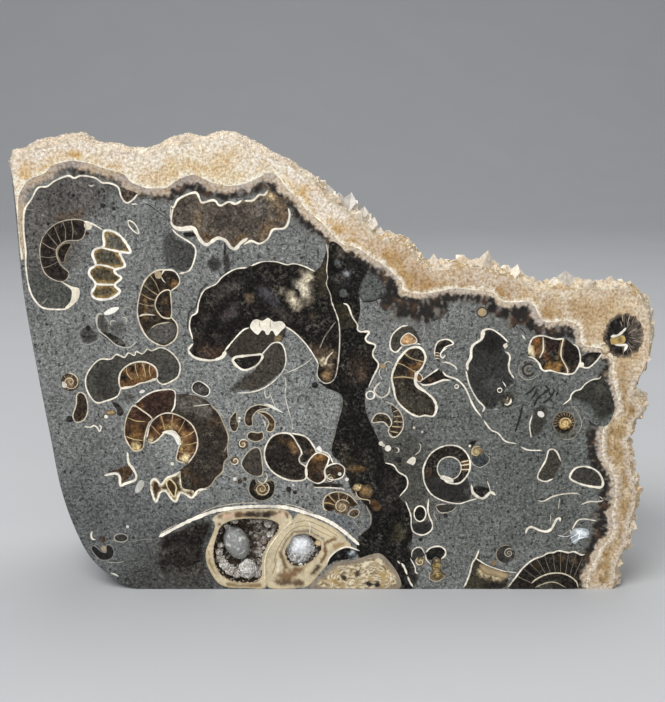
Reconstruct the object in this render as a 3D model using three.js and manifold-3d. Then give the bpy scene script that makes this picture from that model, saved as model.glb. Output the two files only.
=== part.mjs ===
// Polished ammonite cluster, in millimetres, +Z up.
// One free-standing block of grey limestone packed with ammonites. The front is sawn flat and
// polished, the base is sawn flat, and calcite crystals cover the top, the right side and part of
// the back. Rock, fossils and crystals grew together, so the block is one solid.
// The origin is on the floor, under the middle of the block, and the polished face looks along -Y.
import * as THREE from 'three';
import { mergeVertices } from 'three/addons/utils/BufferGeometryUtils.js';
import Module from 'manifold-3d';

const wasm = await Module();
wasm.setup();

// Driving dimensions.
const DEPTH = 52;
const FACE_Y = -DEPTH / 2;
const BASE_LEFT = -64.3;
const BASE_RIGHT = 88;
const SMALL_CRYSTAL_WIDTH = 5.2;
const SMALL_CRYSTAL_HEIGHT = 4.6;
const SMALL_CRYSTAL_SPACING = 8.5;
const CRYSTAL_SIDES = 6;
const POCKET_SEGMENTS = 12;

// The outline of the block, seen from the front, as [x, z].
// Left side: up from the rounded lower corner, smooth and slightly bowed.
const LEFT_SIDE = [
  [BASE_LEFT, 0], [-70.7, 3], [-78.5, 10.5], [-83.8, 22], [-87.2, 34],
  [-89.6, 50], [-92.5, 70], [-96.1, 98.5], [-97.4, 125], [-98.2, 138],
];
// Top: the crystal crust, stepping down from left to right.
const TOP = [
  [-97, 141], [-94, 141.2], [-90, 143], [-86, 143.8], [-81.5, 145.4], [-77, 146], [-75, 145.8],
  [-70.5, 143], [-64.5, 142], [-57, 140.9], [-50, 143.2], [-46, 144.6], [-42, 145.3], [-39, 144.8],
  [-35, 146], [-31, 146], [-28, 145.2], [-22, 141.8], [-18, 140], [-14, 138.8], [-10, 135.5],
  [-7, 134], [-4, 131.5], [-2, 128.6], [1, 126], [5, 123.5], [9, 120.5], [11, 118], [13, 116],
  [16, 114.8], [20, 114.4], [22, 113.5], [24.5, 111.8], [25.3, 109.8], [27, 107.8], [30, 106],
  [36, 106], [42, 106.6], [46, 106.4], [50, 104.8], [54, 104], [57, 102.6], [60, 101.5],
  [64, 99.5], [69, 100], [75, 99.8], [80, 100.2], [85, 99.8], [89, 100], [93, 98.5],
];
// Right side: the crust again, down to the sawn base.
const RIGHT_SIDE = [
  [96, 96], [98, 92.5], [99, 88], [99.5, 83], [99.3, 79], [97, 75], [95.5, 72], [94.5, 66],
  [96, 64.5], [97.5, 62], [97, 60], [95, 58.5], [94.5, 56.5], [95, 54], [93.5, 50], [94.5, 44],
  [96, 37], [95.5, 34], [94, 26], [93, 17], [92, 13], [90.5, 10], [91, 7], [90, 4],
  [BASE_RIGHT, 0],
];
const LEFT_SIDE_STEPS = 26;

// How the outline grows and shrinks through the depth, from the polished face to the back:
// [distance behind the face, width left of the origin, width right of it, height].
const SECTIONS = [
  [0, 0.985, 0.985, 0.975],
  [2, 1.0, 1.002, 0.99],
  [5, 1.01, 1.01, 0.998],
  [14, 1.02, 1.01, 0.985],
  [24, 1.0235, 1.008, 0.955],
  [36, 1.005, 0.985, 0.915],
  [45, 0.95, 0.93, 0.855],
  [50, 0.86, 0.85, 0.78],
  [DEPTH, 0.76, 0.75, 0.7],
];

// Tall dog-tooth crystals that stand out of the crust:
// [x, z, distance behind the face, height above the crust, width, lean to the right in degrees].
const TALL_CRYSTALS = [
  [-1, 127, 9, 3.4, 5, -6],
  [3, 124.5, 10, 5.2, 6.6, 38],
  [7.5, 121.5, 8, 5, 6, 26],
  [10.5, 118, 7, 4.2, 5, 42],
  [14.3, 115, 6, 3, 4, 0],
  [31.3, 105.5, 6, 4, 5.6, 8],
  [47.6, 105.5, 6, 5, 7.4, 4],
  [55.6, 103, 7, 3.6, 6, 20],
  [71.8, 99.5, 7, 5.4, 6.4, 6],
  [97, 61.5, 8, 2.2, 7, 90],
];
const TALL_CRYSTAL_SINK = 4;

// The rows of small crystals over the top: distance behind the face, and lean to the back in degrees.
const CRYSTAL_ROWS = [
  [8, 6],
  [18, 14],
  [29, 24],
  [39, 38],
];

// Open pockets in the polished face, lined with crystals: [x, z, half width, half height, depth].
const POCKETS = [
  [-31, 13.5, 7.5, 9.5, 8],
  [-10.5, 13.5, 5.2, 5.4, 5],
  [90, 84.5, 4.6, 5.4, 6],
];

// A closed three.js geometry becomes a solid that can be joined and cut.
function solidFrom(geometry) {
  const bare = geometry.clone();
  bare.deleteAttribute('normal');
  bare.deleteAttribute('uv');
  const merged = mergeVertices(bare, 1e-4);
  const index = merged.index.array;
  const corners = [];
  for (let i = 0; i < index.length; i += 3) {
    const [a, b, c] = [index[i], index[i + 1], index[i + 2]];
    if (a !== b && b !== c && c !== a) corners.push(a, b, c);
  }
  return new wasm.Manifold(new wasm.Mesh({
    numProp: 3,
    vertProperties: new Float32Array(merged.attributes.position.array),
    triVerts: new Uint32Array(corners),
  }));
}

// A solid becomes a flat-shaded three.js geometry again.
function geometryFrom(solid) {
  const mesh = solid.getMesh();
  const geometry = new THREE.BufferGeometry();
  geometry.setAttribute('position', new THREE.BufferAttribute(new Float32Array(mesh.vertProperties), 3));
  geometry.setIndex(new THREE.BufferAttribute(new Uint32Array(mesh.triVerts), 1));
  const faceted = geometry.toNonIndexed();
  faceted.computeVertexNormals();
  return faceted;
}

// The scales of the outline at a distance behind the polished face.
function sectionAt(behind) {
  const next = Math.max(1, SECTIONS.findIndex(([distance]) => distance >= behind));
  const [near, far] = [SECTIONS[next - 1], SECTIONS[next]];
  const share = (behind - near[0]) / (far[0] - near[0]);
  return near.map((value, i) => THREE.MathUtils.lerp(value, far[i], share));
}

// A place on the outline, moved in or out as the block is at that depth.
function placeOnBlock(x, z, behind) {
  const [, left, right, height] = sectionAt(behind);
  return new THREE.Vector3(x * (x < 0 ? left : right), FACE_Y + behind, z * height);
}

// The block without its crystals: the outline extruded in steps, each step at its own scale.
function makeRock() {
  const leftSide = new THREE.SplineCurve(LEFT_SIDE.map(([x, z]) => new THREE.Vector2(x, z)));
  const outline = new THREE.Shape(leftSide.getSpacedPoints(LEFT_SIDE_STEPS));
  for (const [x, z] of [...TOP, ...RIGHT_SIDE]) outline.lineTo(x, z);
  outline.closePath();

  const steps = SECTIONS.length - 1;
  const rock = new THREE.ExtrudeGeometry(outline, { depth: steps, steps, bevelEnabled: false });
  rock.rotateX(Math.PI / 2);
  const corners = rock.attributes.position;
  for (let i = 0; i < corners.count; i += 1) {
    const [behind] = SECTIONS[steps + Math.round(corners.getY(i))];
    const place = placeOnBlock(corners.getX(i), corners.getZ(i), behind);
    corners.setXYZ(i, place.x, place.y, place.z);
  }
  return solidFrom(rock);
}

// A dog-tooth crystal: two six-sided pyramids base to base, the lower one sunk in the crust.
function makeCrystal({ foot, width, height, sink, lean, tilt, turn }) {
  const crystal = new THREE.LatheGeometry([
    new THREE.Vector2(0, -sink),
    new THREE.Vector2(width / 2, -0.1 * sink),
    new THREE.Vector2(0.34 * width, 0.55 * height),
    new THREE.Vector2(0, height),
  ], CRYSTAL_SIDES);
  crystal.rotateX(Math.PI / 2);
  crystal.rotateZ(THREE.MathUtils.degToRad(turn));
  crystal.rotateX(-THREE.MathUtils.degToRad(tilt));
  crystal.rotateY(THREE.MathUtils.degToRad(lean));
  crystal.translate(foot.x, foot.y, foot.z);
  return solidFrom(crystal);
}

function makeTallCrystals() {
  return TALL_CRYSTALS.map(([x, z, behind, height, width, lean], i) => makeCrystal({
    foot: placeOnBlock(x, z, behind),
    width,
    height,
    sink: TALL_CRYSTAL_SINK,
    lean,
    tilt: 4,
    turn: 23 * i,
  }));
}

// Small crystals in rows along the top, standing square to the outline.
function makeSmallCrystals() {
  const top = new THREE.CurvePath();
  for (let i = 1; i < TOP.length; i += 1) {
    top.add(new THREE.LineCurve(new THREE.Vector2(...TOP[i - 1]), new THREE.Vector2(...TOP[i])));
  }
  const count = Math.floor(top.getLength() / SMALL_CRYSTAL_SPACING);
  const crystals = [];
  CRYSTAL_ROWS.forEach(([behind, tilt], row) => {
    for (let i = 1; i < count; i += 1) {
      const share = (i + (row % 2) / 2) / count;
      const spot = top.getPointAt(share);
      const [before, after] = [top.getPointAt(share - 0.01), top.getPointAt(share + 0.01)];
      const slope = Math.atan2(before.y - after.y, after.x - before.x);
      const size = 0.85 + 0.3 * Math.abs(Math.sin(7 * i + 3 * row));
      crystals.push(makeCrystal({
        foot: placeOnBlock(spot.x, spot.y - 1.6, behind),
        width: SMALL_CRYSTAL_WIDTH * size,
        height: SMALL_CRYSTAL_HEIGHT * size - 0.8,
        sink: SMALL_CRYSTAL_HEIGHT,
        lean: THREE.MathUtils.radToDeg(slope) + 12 * Math.sin(5 * i + row),
        tilt: tilt + 8 * Math.sin(3 * i),
        turn: 37 * i + 19 * row,
      }));
    }
  });
  return crystals;
}

// A rounded pocket, sunk into the polished face.
function makePocket([x, z, halfWidth, halfHeight, depth]) {
  const pocket = new THREE.SphereGeometry(1, POCKET_SEGMENTS, POCKET_SEGMENTS / 2);
  pocket.scale(halfWidth, depth, halfHeight);
  pocket.translate(x, FACE_Y, z);
  return solidFrom(pocket);
}

function makeBlock() {
  let block = makeRock();
  for (const crystal of [...makeTallCrystals(), ...makeSmallCrystals()]) block = block.add(crystal);
  for (const pocket of POCKETS) block = block.subtract(makePocket(pocket));
  const stone = new THREE.MeshStandardMaterial({ color: 0x84867f, roughness: 0.3, metalness: 0 });
  const mesh = new THREE.Mesh(geometryFrom(block), stone);
  mesh.name = 'ammonite_block';
  return mesh;
}

const group = new THREE.Group();
group.add(makeBlock());

export default group;
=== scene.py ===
# Polished ammonite cluster: grey limestone packed with ammonites, sawn and polished in front,
# sawn under the base, with a crust of calcite crystals over the top, the right side and the back.
# Lengths are in millimetres here and become metres where a mesh is made.
import math
import random

import bmesh
import bpy
import numpy as np
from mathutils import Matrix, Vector, noise
from mathutils.geometry import delaunay_2d_cdt


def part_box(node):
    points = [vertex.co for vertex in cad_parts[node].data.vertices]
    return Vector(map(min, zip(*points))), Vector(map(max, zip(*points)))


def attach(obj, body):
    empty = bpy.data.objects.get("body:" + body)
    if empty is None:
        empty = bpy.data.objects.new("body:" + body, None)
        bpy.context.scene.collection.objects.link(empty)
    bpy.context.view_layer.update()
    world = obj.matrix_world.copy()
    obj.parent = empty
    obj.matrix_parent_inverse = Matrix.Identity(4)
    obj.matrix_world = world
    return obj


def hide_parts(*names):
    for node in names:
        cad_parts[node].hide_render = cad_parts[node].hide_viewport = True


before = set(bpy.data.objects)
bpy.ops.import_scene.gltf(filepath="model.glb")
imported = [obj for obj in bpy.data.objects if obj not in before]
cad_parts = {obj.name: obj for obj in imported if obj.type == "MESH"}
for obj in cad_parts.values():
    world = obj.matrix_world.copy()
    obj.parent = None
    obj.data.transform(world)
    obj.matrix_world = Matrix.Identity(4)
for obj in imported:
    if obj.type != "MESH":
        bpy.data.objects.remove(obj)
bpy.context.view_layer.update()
block_low, block_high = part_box("ammonite_block")

MM = 0.001
FACE = block_low.y / MM
DEPTH = (block_high.y - block_low.y) / MM
BLOCK = "ammonite_block"
BODY = "root"
# A plate stands out this much more than the ones that it lies over, and goes this deep into the rock.
PLATE_STEP = 0.004
BURIED = 0.2
# Plates and crystals stop this far above the floor.
OFF_FLOOR = 0.02
# Walls are laid this much narrower than the widths that are given for them.
WALL_TRIM = 0.84
# The edge of a patch gets no more ragged past this radius.
MOST_RAGGED = 3.5
# How far the corners inside a plate stray from their rows, as a share of the spacing.
STRAY = 0.25


def linear(colour):
    """An sRGB hex colour as the linear colour that Blender works in."""
    parts = [int(colour[i:i + 2], 16) / 255 for i in (0, 2, 4)]
    return tuple(p / 12.92 if p <= 0.04045 else ((p + 0.055) / 1.055) ** 2.4 for p in parts) + (1.0,)


def pigment(colour):
    """A hex colour as three linear numbers, to mix and to shade."""
    return np.array(linear(colour)[:3])


def smoothstep(low, high, value):
    """A share that eases from 0 at low to 1 at high."""
    share = np.clip((np.asarray(value, float) - low) / (high - low), 0, 1)
    return share * share * (3 - 2 * share)


# ---------------------------------------------------------------- outlines

def smooth(points, closed=False, step=0.4):
    """Points along a smooth curve through the given ones. A point given twice is a sharp corner."""
    marks = []
    corners = []
    width = max(len(p) for p in points)
    for point in points:
        spot = np.array(list(point) + [np.nan] * (width - len(point)), float)
        if marks and np.hypot(*(spot[:2] - marks[-1][:2])) < 1e-6:
            corners[-1] = True
            continue
        marks.append(spot)
        corners.append(False)
    if closed and np.hypot(*(marks[0][:2] - marks[-1][:2])) < 1e-6:
        marks.pop()
        corners.pop()
    count = len(marks)
    for axis in range(2, width):
        known = [i for i in range(count) if not np.isnan(marks[i][axis])]
        for i in range(count):
            if np.isnan(marks[i][axis]):
                marks[i][axis] = marks[max([k for k in known if k < i], default=known[0])][axis]
    line = []
    for i in range(count if closed else count - 1):
        here, there = marks[i], marks[(i + 1) % count]
        first = corners[i] or (not closed and i == 0)
        last = corners[(i + 1) % count] or (not closed and i == count - 2)
        before = 2 * here - there if first else marks[i - 1]
        after = 2 * there - here if last else marks[(i + 2) % count]
        knots = [0.0]
        for a, b in ((before, here), (here, there), (there, after)):
            knots.append(knots[-1] + max(np.hypot(*(b[:2] - a[:2])), 1e-4) ** 0.5)
        t0, t1, t2, t3 = knots
        pieces = max(1, int(math.ceil(np.hypot(*(there[:2] - here[:2])) / step)))
        for k in range(pieces):
            t = t1 + (t2 - t1) * k / pieces
            a1 = before + (here - before) * (t - t0) / (t1 - t0)
            a2 = here + (there - here) * (t - t1) / (t2 - t1)
            a3 = there + (after - there) * (t - t2) / (t3 - t2)
            b1 = a1 + (a2 - a1) * (t - t0) / (t2 - t0)
            b2 = a2 + (a3 - a2) * (t - t1) / (t3 - t1)
            line.append(b1 + (b2 - b1) * (t - t1) / (t2 - t1))
    if not closed:
        line.append(marks[-1])
    return np.array(line)


def oval(x, z, rx, rz=None, turn=0.0, start=0.0, sweep=360.0, step=0.4):
    """Points on an oval or a part of one, in degrees from the right, anticlockwise."""
    rz = rz or rx
    count = max(8, int(math.radians(abs(sweep)) * max(rx, rz) / step))
    angles = np.radians(start + np.linspace(0, sweep, count, endpoint=abs(sweep) < 360))
    lean = math.radians(turn)
    across, up = rx * np.cos(angles), rz * np.sin(angles)
    return np.stack([x + across * math.cos(lean) - up * math.sin(lean),
                     z + across * math.sin(lean) + up * math.cos(lean)], axis=1)


def inside(loop, spots):
    """Which spots lie inside a closed loop."""
    x, z = spots[:, 0], spots[:, 1]
    found = np.zeros(len(spots), bool)
    low, high = loop[:, :2].min(0), loop[:, :2].max(0)
    near = np.flatnonzero((x >= low[0]) & (x <= high[0]) & (z >= low[1]) & (z <= high[1]))
    if not len(near):
        return found
    hits = np.zeros(len(near), bool)
    previous = loop[-1]
    for corner in loop:
        if corner[1] != previous[1]:
            crosses = (corner[1] > z[near]) != (previous[1] > z[near])
            at = (previous[0] - corner[0]) * (z[near] - corner[1]) / (previous[1] - corner[1]) + corner[0]
            hits ^= crosses & (x[near] < at)
        previous = corner
    found[near] = hits
    return found


def away_from(line, spots, closed=False):
    """How far each spot is from a line of points."""
    line = np.asarray(line, float)[:, :2]
    best = np.full(len(spots), 1e9)
    if len(line) == 1:
        return np.hypot(*(spots - line[0]).T)
    ends = np.roll(line, -1, axis=0) if closed else line[1:]
    for a, b in zip(line, ends):
        along = b - a
        size = along @ along
        if size < 1e-12:
            continue
        share = np.clip(((spots - a) @ along) / size, 0, 1)
        gap = spots - a - share[:, None] * along
        best = np.minimum(best, gap[:, 0] ** 2 + gap[:, 1] ** 2)
    return np.sqrt(best)


def clouds(places, size, shift=0.0):
    """A soft random amount from 0 to 1 at each place, in patches of this size."""
    values = [noise.noise((p[0] / size, p[1] / size, shift)) for p in places]
    return np.clip(0.5 + 0.75 * np.array(values), 0, 1)


def mix(first, second, share):
    """Between two colours, by a share for each place."""
    first = first if isinstance(first, np.ndarray) else pigment(first)
    second = second if isinstance(second, np.ndarray) else pigment(second)
    return first + (second - first) * np.asarray(share)[:, None]


def paint(spots, base, rim=None, rim_width=0.8, edge=None, patches=()):
    """The tint at each spot: a base colour, another colour near the edge, and patches with ragged edges."""
    tint = mix(base, base, np.zeros(len(spots)))
    grain = clouds(spots, 0.9, 12.0) + clouds(spots, 2.4, 4.0) - 1 if len(patches) or rim is not None else 0
    for line, radius, colour in patches:
        reach = away_from(np.array(line, float), spots) + 0.6 * min(radius, MOST_RAGGED) * grain
        tint = mix(tint, colour, 1 - smoothstep(0.2 * radius, radius, reach))
    if rim is not None:
        tint = mix(tint, rim, 1 - smoothstep(0, rim_width, edge + 0.4 * rim_width * grain))
    return tint


def triangles(loops, spacing):
    """A flat area filled with triangles: its corners, its triangles, how far each corner is from the edge,
    and which point of the loops it is. The first loop is the outline, and the others are holes in it."""
    outline = loops[0]
    low, high = outline.min(0), outline.max(0)
    draw = random.Random(int(abs(low[0] * 971 + low[1] * 577)) % 99991)
    lattice = []
    row = 0
    z = low[1] + spacing / 2
    while z < high[1]:
        x = low[0] + (spacing / 2 if row % 2 else 0)
        while x < high[0]:
            stray = [draw.uniform(-STRAY, STRAY) * spacing for _ in range(2)]
            lattice.append((x + stray[0], z + stray[1]))
            x += spacing
        z += spacing * 0.87
        row += 1
    spots = np.array(lattice) if lattice else np.zeros((0, 2))
    if len(spots):
        spots = spots[inside(outline, spots)]
        for hole in loops[1:]:
            spots = spots[~inside(hole, spots)]
    edge = np.full(len(spots), 1e9)
    for loop in loops:
        if len(spots):
            edge = np.minimum(edge, away_from(loop, spots, closed=True))
    spots = spots[edge > 0.3 * spacing]
    edge = edge[edge > 0.3 * spacing]
    corners = []
    lines = []
    for loop in loops:
        first = len(corners)
        corners += [tuple(p) for p in loop[:, :2]]
        lines += [(first + i, first + (i + 1) % len(loop)) for i in range(len(loop))]
    rim = len(corners)
    corners += [tuple(p) for p in spots]
    places, _, faces, origins, _, _ = delaunay_2d_cdt([Vector(c) for c in corners], lines, [], 0, 1e-5)
    places = np.array([tuple(p) for p in places])
    faces = np.array(faces)
    middles = places[faces].mean(1)
    keep = inside(outline, middles)
    for hole in loops[1:]:
        keep &= ~inside(hole, middles)
    faces = faces[keep]
    source = np.array([origin[0] if origin else -1 for origin in origins])
    gaps = np.zeros(len(places))
    gaps[source >= rim] = edge[source[source >= rim] - rim]
    return places, faces, gaps, source


# ---------------------------------------------------------------- pieces made of many thin sections

class Layer:
    """Thin closed plates on the polished face that become one mesh: what fills the shells, or their walls."""

    laid = {}

    def __init__(self, name, proud):
        self.name = name
        self.proud = proud
        self.corners = []
        self.faces = []
        self.tints = []
        self.extra = []

    def rise(self, places):
        """How far a new plate stands out: a hair more than every plate that it lies over."""
        low, high = places.min(0), places.max(0)
        below = [level for a, b, level in Layer.laid.setdefault(self.proud, [])
                 if (a < high).all() and (low < b).all()]
        level = 1 + max(below, default=0)
        Layer.laid[self.proud].append((low, high, level))
        return self.proud + PLATE_STEP * level

    def add(self, places, faces, tint, extra=None):
        """A plate from flat triangles: the same triangles in front and behind, joined round every edge."""
        height = self.rise(np.asarray(places)[:, :2])
        size = len(places)
        start = len(self.corners)
        for y in (FACE - height, FACE + BURIED):
            self.corners += [(p[0], y, max(p[1], OFF_FLOOR)) for p in places]
            self.tints += [tuple(t) for t in tint]
            self.extra += [tuple(e) for e in extra] if extra is not None else []
        once = {}
        for a, b, c in faces:
            self.faces.append((start + a, start + b, start + c))
            self.faces.append((start + size + c, start + size + b, start + size + a))
            for pair in ((a, b), (b, c), (c, a)):
                if (pair[1], pair[0]) in once:
                    del once[(pair[1], pair[0])]
                else:
                    once[pair] = True
        for a, b in once:
            self.faces.append((start + b, start + a, start + size + a, start + size + b))

    def mesh(self, material, slot, attribute=None):
        piece = new_mesh(self.name, np.array(self.corners) * MM, self.faces, material)
        paint_mesh(piece, self.tints)
        if attribute:
            values = piece.data.attributes.new(attribute, "FLOAT_VECTOR", "POINT")
            values.data.foreach_set("vector", np.array(self.extra, np.float32).ravel())
        return piece


def new_mesh(name, corners, faces, material):
    """A mesh piece at the origin that rides on the block's body."""
    mesh = bpy.data.meshes.new(name)
    mesh.from_pydata([tuple(c) for c in corners], [], [tuple(int(i) for i in f) for f in faces])
    mesh.validate()
    piece = bpy.data.objects.new(name, mesh)
    bpy.context.scene.collection.objects.link(piece)
    mesh.materials.append(material)
    finish_piece(piece)
    return piece


def finish_piece(piece):
    """A piece's body and the CAD node that it stands for."""
    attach(piece, BODY)
    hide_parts(BLOCK)


def paint_mesh(piece, tints):
    """The tint of each corner of a piece, which its material reads."""
    colours = piece.data.color_attributes.new("tint", "FLOAT_COLOR", "POINT")
    values = np.ones((len(tints), 4), np.float32)
    values[:, :3] = np.array(tints, np.float32)[:, :3]
    colours.data.foreach_set("color", values.ravel())


def plate(layer, points, base, rim=None, rim_width=0.8, patches=(), spacing=0.65, holes=(), curved=True,
        fade=None, fade_width=3.0):
    """One filled section on the polished face. Near the line called fade, it passes into the stone."""
    outline = smooth(points, closed=True, step=0.5) if curved else np.array(points, float)
    loops = [outline[:, :2]] + [np.array(hole, float) for hole in holes]
    places, faces, gaps, _ = triangles(loops, spacing)
    if base == "stone":
        base = stone_tone_and_shade(places)
    if rim == "stone":
        rim = stone_tone_and_shade(places)
    tint = paint(places, base, rim, rim_width, gaps, patches)
    if fade:
        ragged = np.array([noise.noise((p[0] / 1.6, p[1] / 1.6, 8.0)) for p in places])
        share = 1 - smoothstep(0, fade_width, away_from(fade, places) + 0.8 * ragged)
        tint += share[:, None] * (stone_tone_and_shade(places) - tint)
    layer.add(places, faces, tint)


def wall(layer, points, width=0.6, colour="EFE6D3", closed=False, taper=0.25, ragged=0.22, curved=True):
    """A shell wall, a septum or a thread: a band along a curve. A point's third number is its width."""
    line = smooth(points, closed, step=0.38) if curved else np.array(points, float)
    middle = line[:, :2]
    count = len(middle)
    if closed:
        along = np.roll(middle, -1, axis=0) - np.roll(middle, 1, axis=0)
    else:
        along = np.gradient(middle, axis=0)
    along /= np.maximum(np.hypot(along[:, 0], along[:, 1])[:, None], 1e-6)
    side = np.stack([-along[:, 1], along[:, 0]], axis=1)
    widths = line[:, 2] if line.shape[1] > 2 else np.full(count, width)
    draw = np.array([noise.noise((p[0] * 0.9, p[1] * 0.9, 3.0)) for p in middle])
    slow = np.array([noise.noise((p[0] * 0.22, p[1] * 0.22, 6.0)) for p in middle])
    widths = widths * WALL_TRIM * (1 + ragged * draw * 1.6 + 0.3 * slow)
    if not closed:
        travel = np.concatenate([[0], np.cumsum(np.hypot(*np.diff(middle, axis=0).T))])
        ends = np.minimum(travel, travel[-1] - travel)
        widths = widths * (taper + (1 - taper) * smoothstep(-0.01, 0.9, ends))
    left = middle + side * widths[:, None] / 2
    right = middle - side * widths[:, None] / 2
    places = np.concatenate([left, right])
    faces = []
    for i in range(count if closed else count - 1):
        j = (i + 1) % count
        faces.append((count + i, count + j, j))
        faces.append((count + i, j, i))
    shade = np.clip(1.02 + 0.3 * slow + 0.15 * draw, 0.75, 1.12)
    tint = pigment(colour) * np.concatenate([shade, shade])[:, None]
    layer.add(places, faces, tint)
# ---------------------------------------------------------------- materials

# What most of a noise pattern's values lie between, and what all of them do.
MOST = (0.3, 0.7)
ALL = (0.0, 1.0)
# The inputs that a Mix node takes its two colours at, and the output of its mixed colour.
BELOW = 6
ABOVE = 7
MIXED = 2


def per_mm(size):
    """The texture scale that makes a pattern's cells about this many millimetres across."""
    return 1 / (size * MM)


def plug(tree, node, inputs):
    """A node's inputs, each set to a value or joined to another node's output."""
    for name, value in inputs.items():
        if isinstance(value, bpy.types.NodeSocket):
            tree.links.new(value, node.inputs[name])
        else:
            node.inputs[name].default_value = value


def add(tree, kind, inputs, output=0, **settings):
    """One shader node with its settings and its inputs. It gives back the output that is used."""
    made = tree.nodes.new("ShaderNode" + kind)
    for name, value in settings.items():
        setattr(made, name, value)
    plug(tree, made, inputs)
    return made.outputs[output]


def start_material(name):
    """A new material's tree, its surface shader, the place of each point and its painted tint."""
    material = bpy.data.materials.new(name)
    material.use_nodes = True
    tree = material.node_tree
    shader = next(n for n in tree.nodes if n.type == "BSDF_PRINCIPLED")
    place = add(tree, "TexCoord", {}, "Object")
    tint = add(tree, "Attribute", {}, "Color", attribute_name="tint")
    return material, tree, shader, place, tint


def vary(tree, colour, amount, low, high, spread=MOST):
    """A colour made darker or lighter, from low to high times, as an amount goes over its spread."""
    gain = add(tree, "MapRange", {"Value": amount, "From Min": spread[0], "From Max": spread[1],
        "To Min": low, "To Max": high})
    return add(tree, "VectorMath", {0: colour, "Scale": gain}, operation="SCALE")


def specks(tree, place, size, low, high, shift=0.0):
    """Irregular scattered specks about this size: 1 in a speck and 0 outside, from the peaks of a noise."""
    spot = add(tree, "Mapping", {"Vector": place, "Location": (shift, shift, shift)})
    peaks = add(tree, "TexNoise", {"Vector": spot, "Scale": per_mm(size), "Detail": 1.5})
    return add(tree, "MapRange", {"Value": peaks, "From Min": low, "From Max": high})


def polished_limestone():
    """Dark bituminous limestone, sawn and polished: a peppery grey grain with black and pale specks, and a
    low gloss. The real grain is about a tenth of a millimetre, and is drawn coarser so that it shows."""
    material, tree, shader, place, tint = start_material("limestone_polished")
    mottle = add(tree, "TexNoise", {"Vector": place, "Scale": per_mm(7), "Detail": 4})
    grain = add(tree, "TexNoise", {"Vector": place, "Scale": per_mm(1), "Detail": 4, "Roughness": 0.85})
    grains = add(tree, "TexVoronoi", {"Vector": place, "Scale": per_mm(0.5)}, "Color")
    facet = add(tree, "SeparateColor", {"Color": grains}, "Red")
    colour = vary(tree, tint, mottle, 0.82, 1.16)
    colour = vary(tree, colour, grain, 0.25, 1.66)
    colour = vary(tree, colour, facet, 0.5, 1.42, ALL)
    for speck, gain in ((specks(tree, place, 1.3, 0.6, 0.66), 0.3),
                        (specks(tree, place, 0.8, 0.69, 0.76, 0.3), 1.9)):
        speck_colour = add(tree, "VectorMath", {0: colour, "Scale": gain}, operation="SCALE")
        colour = add(tree, "Mix", {"Factor": speck, BELOW: colour, ABOVE: speck_colour}, MIXED,
            data_type="RGBA")
    rough = add(tree, "MapRange", {"Value": grain, "To Min": 0.24, "To Max": 0.36})
    plug(tree, shader, {"Base Color": colour, "Roughness": rough, "Specular IOR Level": 0.2})
    return material


def chamber_calcite():
    """Calcite that filled the shells, polished: deep brown to black, broken up by its fine cleavage, with
    whitish veils of tiny flaws in places."""
    material, tree, shader, place, tint = start_material("chamber_calcite_polished")
    cloud = add(tree, "TexNoise", {"Vector": place, "Scale": per_mm(2.4), "Detail": 5, "Roughness": 0.75})
    cleavage = add(tree, "TexVoronoi", {"Vector": place, "Scale": per_mm(0.55)}, "Color")
    facet = add(tree, "SeparateColor", {"Color": cleavage}, "Green")
    fine = add(tree, "TexNoise", {"Vector": place, "Scale": per_mm(0.8), "Detail": 4, "Roughness": 0.8})
    colour = vary(tree, tint, cloud, 0.4, 1.45)
    colour = vary(tree, colour, facet, 0.55, 1.45, ALL)
    colour = vary(tree, colour, fine, 0.35, 1.7)
    flaws = add(tree, "MapRange", {"Value": fine, "From Min": 0.5, "From Max": 0.75, "To Max": 0.8})
    veil = add(tree, "Math", {0: specks(tree, place, 5, 0.48, 0.72), 1: flaws}, operation="MULTIPLY")
    colour = add(tree, "Mix", {"Factor": veil, BELOW: colour, ABOVE: linear("9A9486")}, MIXED,
        data_type="RGBA")
    dust = add(tree, "MapRange", {"Value": fine, "From Min": 0.5, "From Max": 0.8, "To Max": 0.22})
    colour = add(tree, "Mix", {"Factor": dust, BELOW: colour, ABOVE: linear("8A8274")}, MIXED,
        data_type="RGBA")
    plug(tree, shader, {"Base Color": colour, "Roughness": 0.17, "Specular IOR Level": 0.12})
    return material


def shell_calcite():
    """Shell turned to calcite, and the pale lining of the hollows, polished: cream, faintly stained."""
    material, tree, shader, place, tint = start_material("shell_calcite_polished")
    stain = add(tree, "TexNoise", {"Vector": place, "Scale": per_mm(4), "Detail": 2})
    grain = add(tree, "TexNoise", {"Vector": place, "Scale": per_mm(0.9), "Detail": 2})
    colour = vary(tree, tint, stain, 0.84, 1.14)
    colour = vary(tree, colour, grain, 0.86, 1.12)
    plug(tree, shader, {"Base Color": colour, "Roughness": 0.25, "Specular IOR Level": 0.3})
    return material


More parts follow.
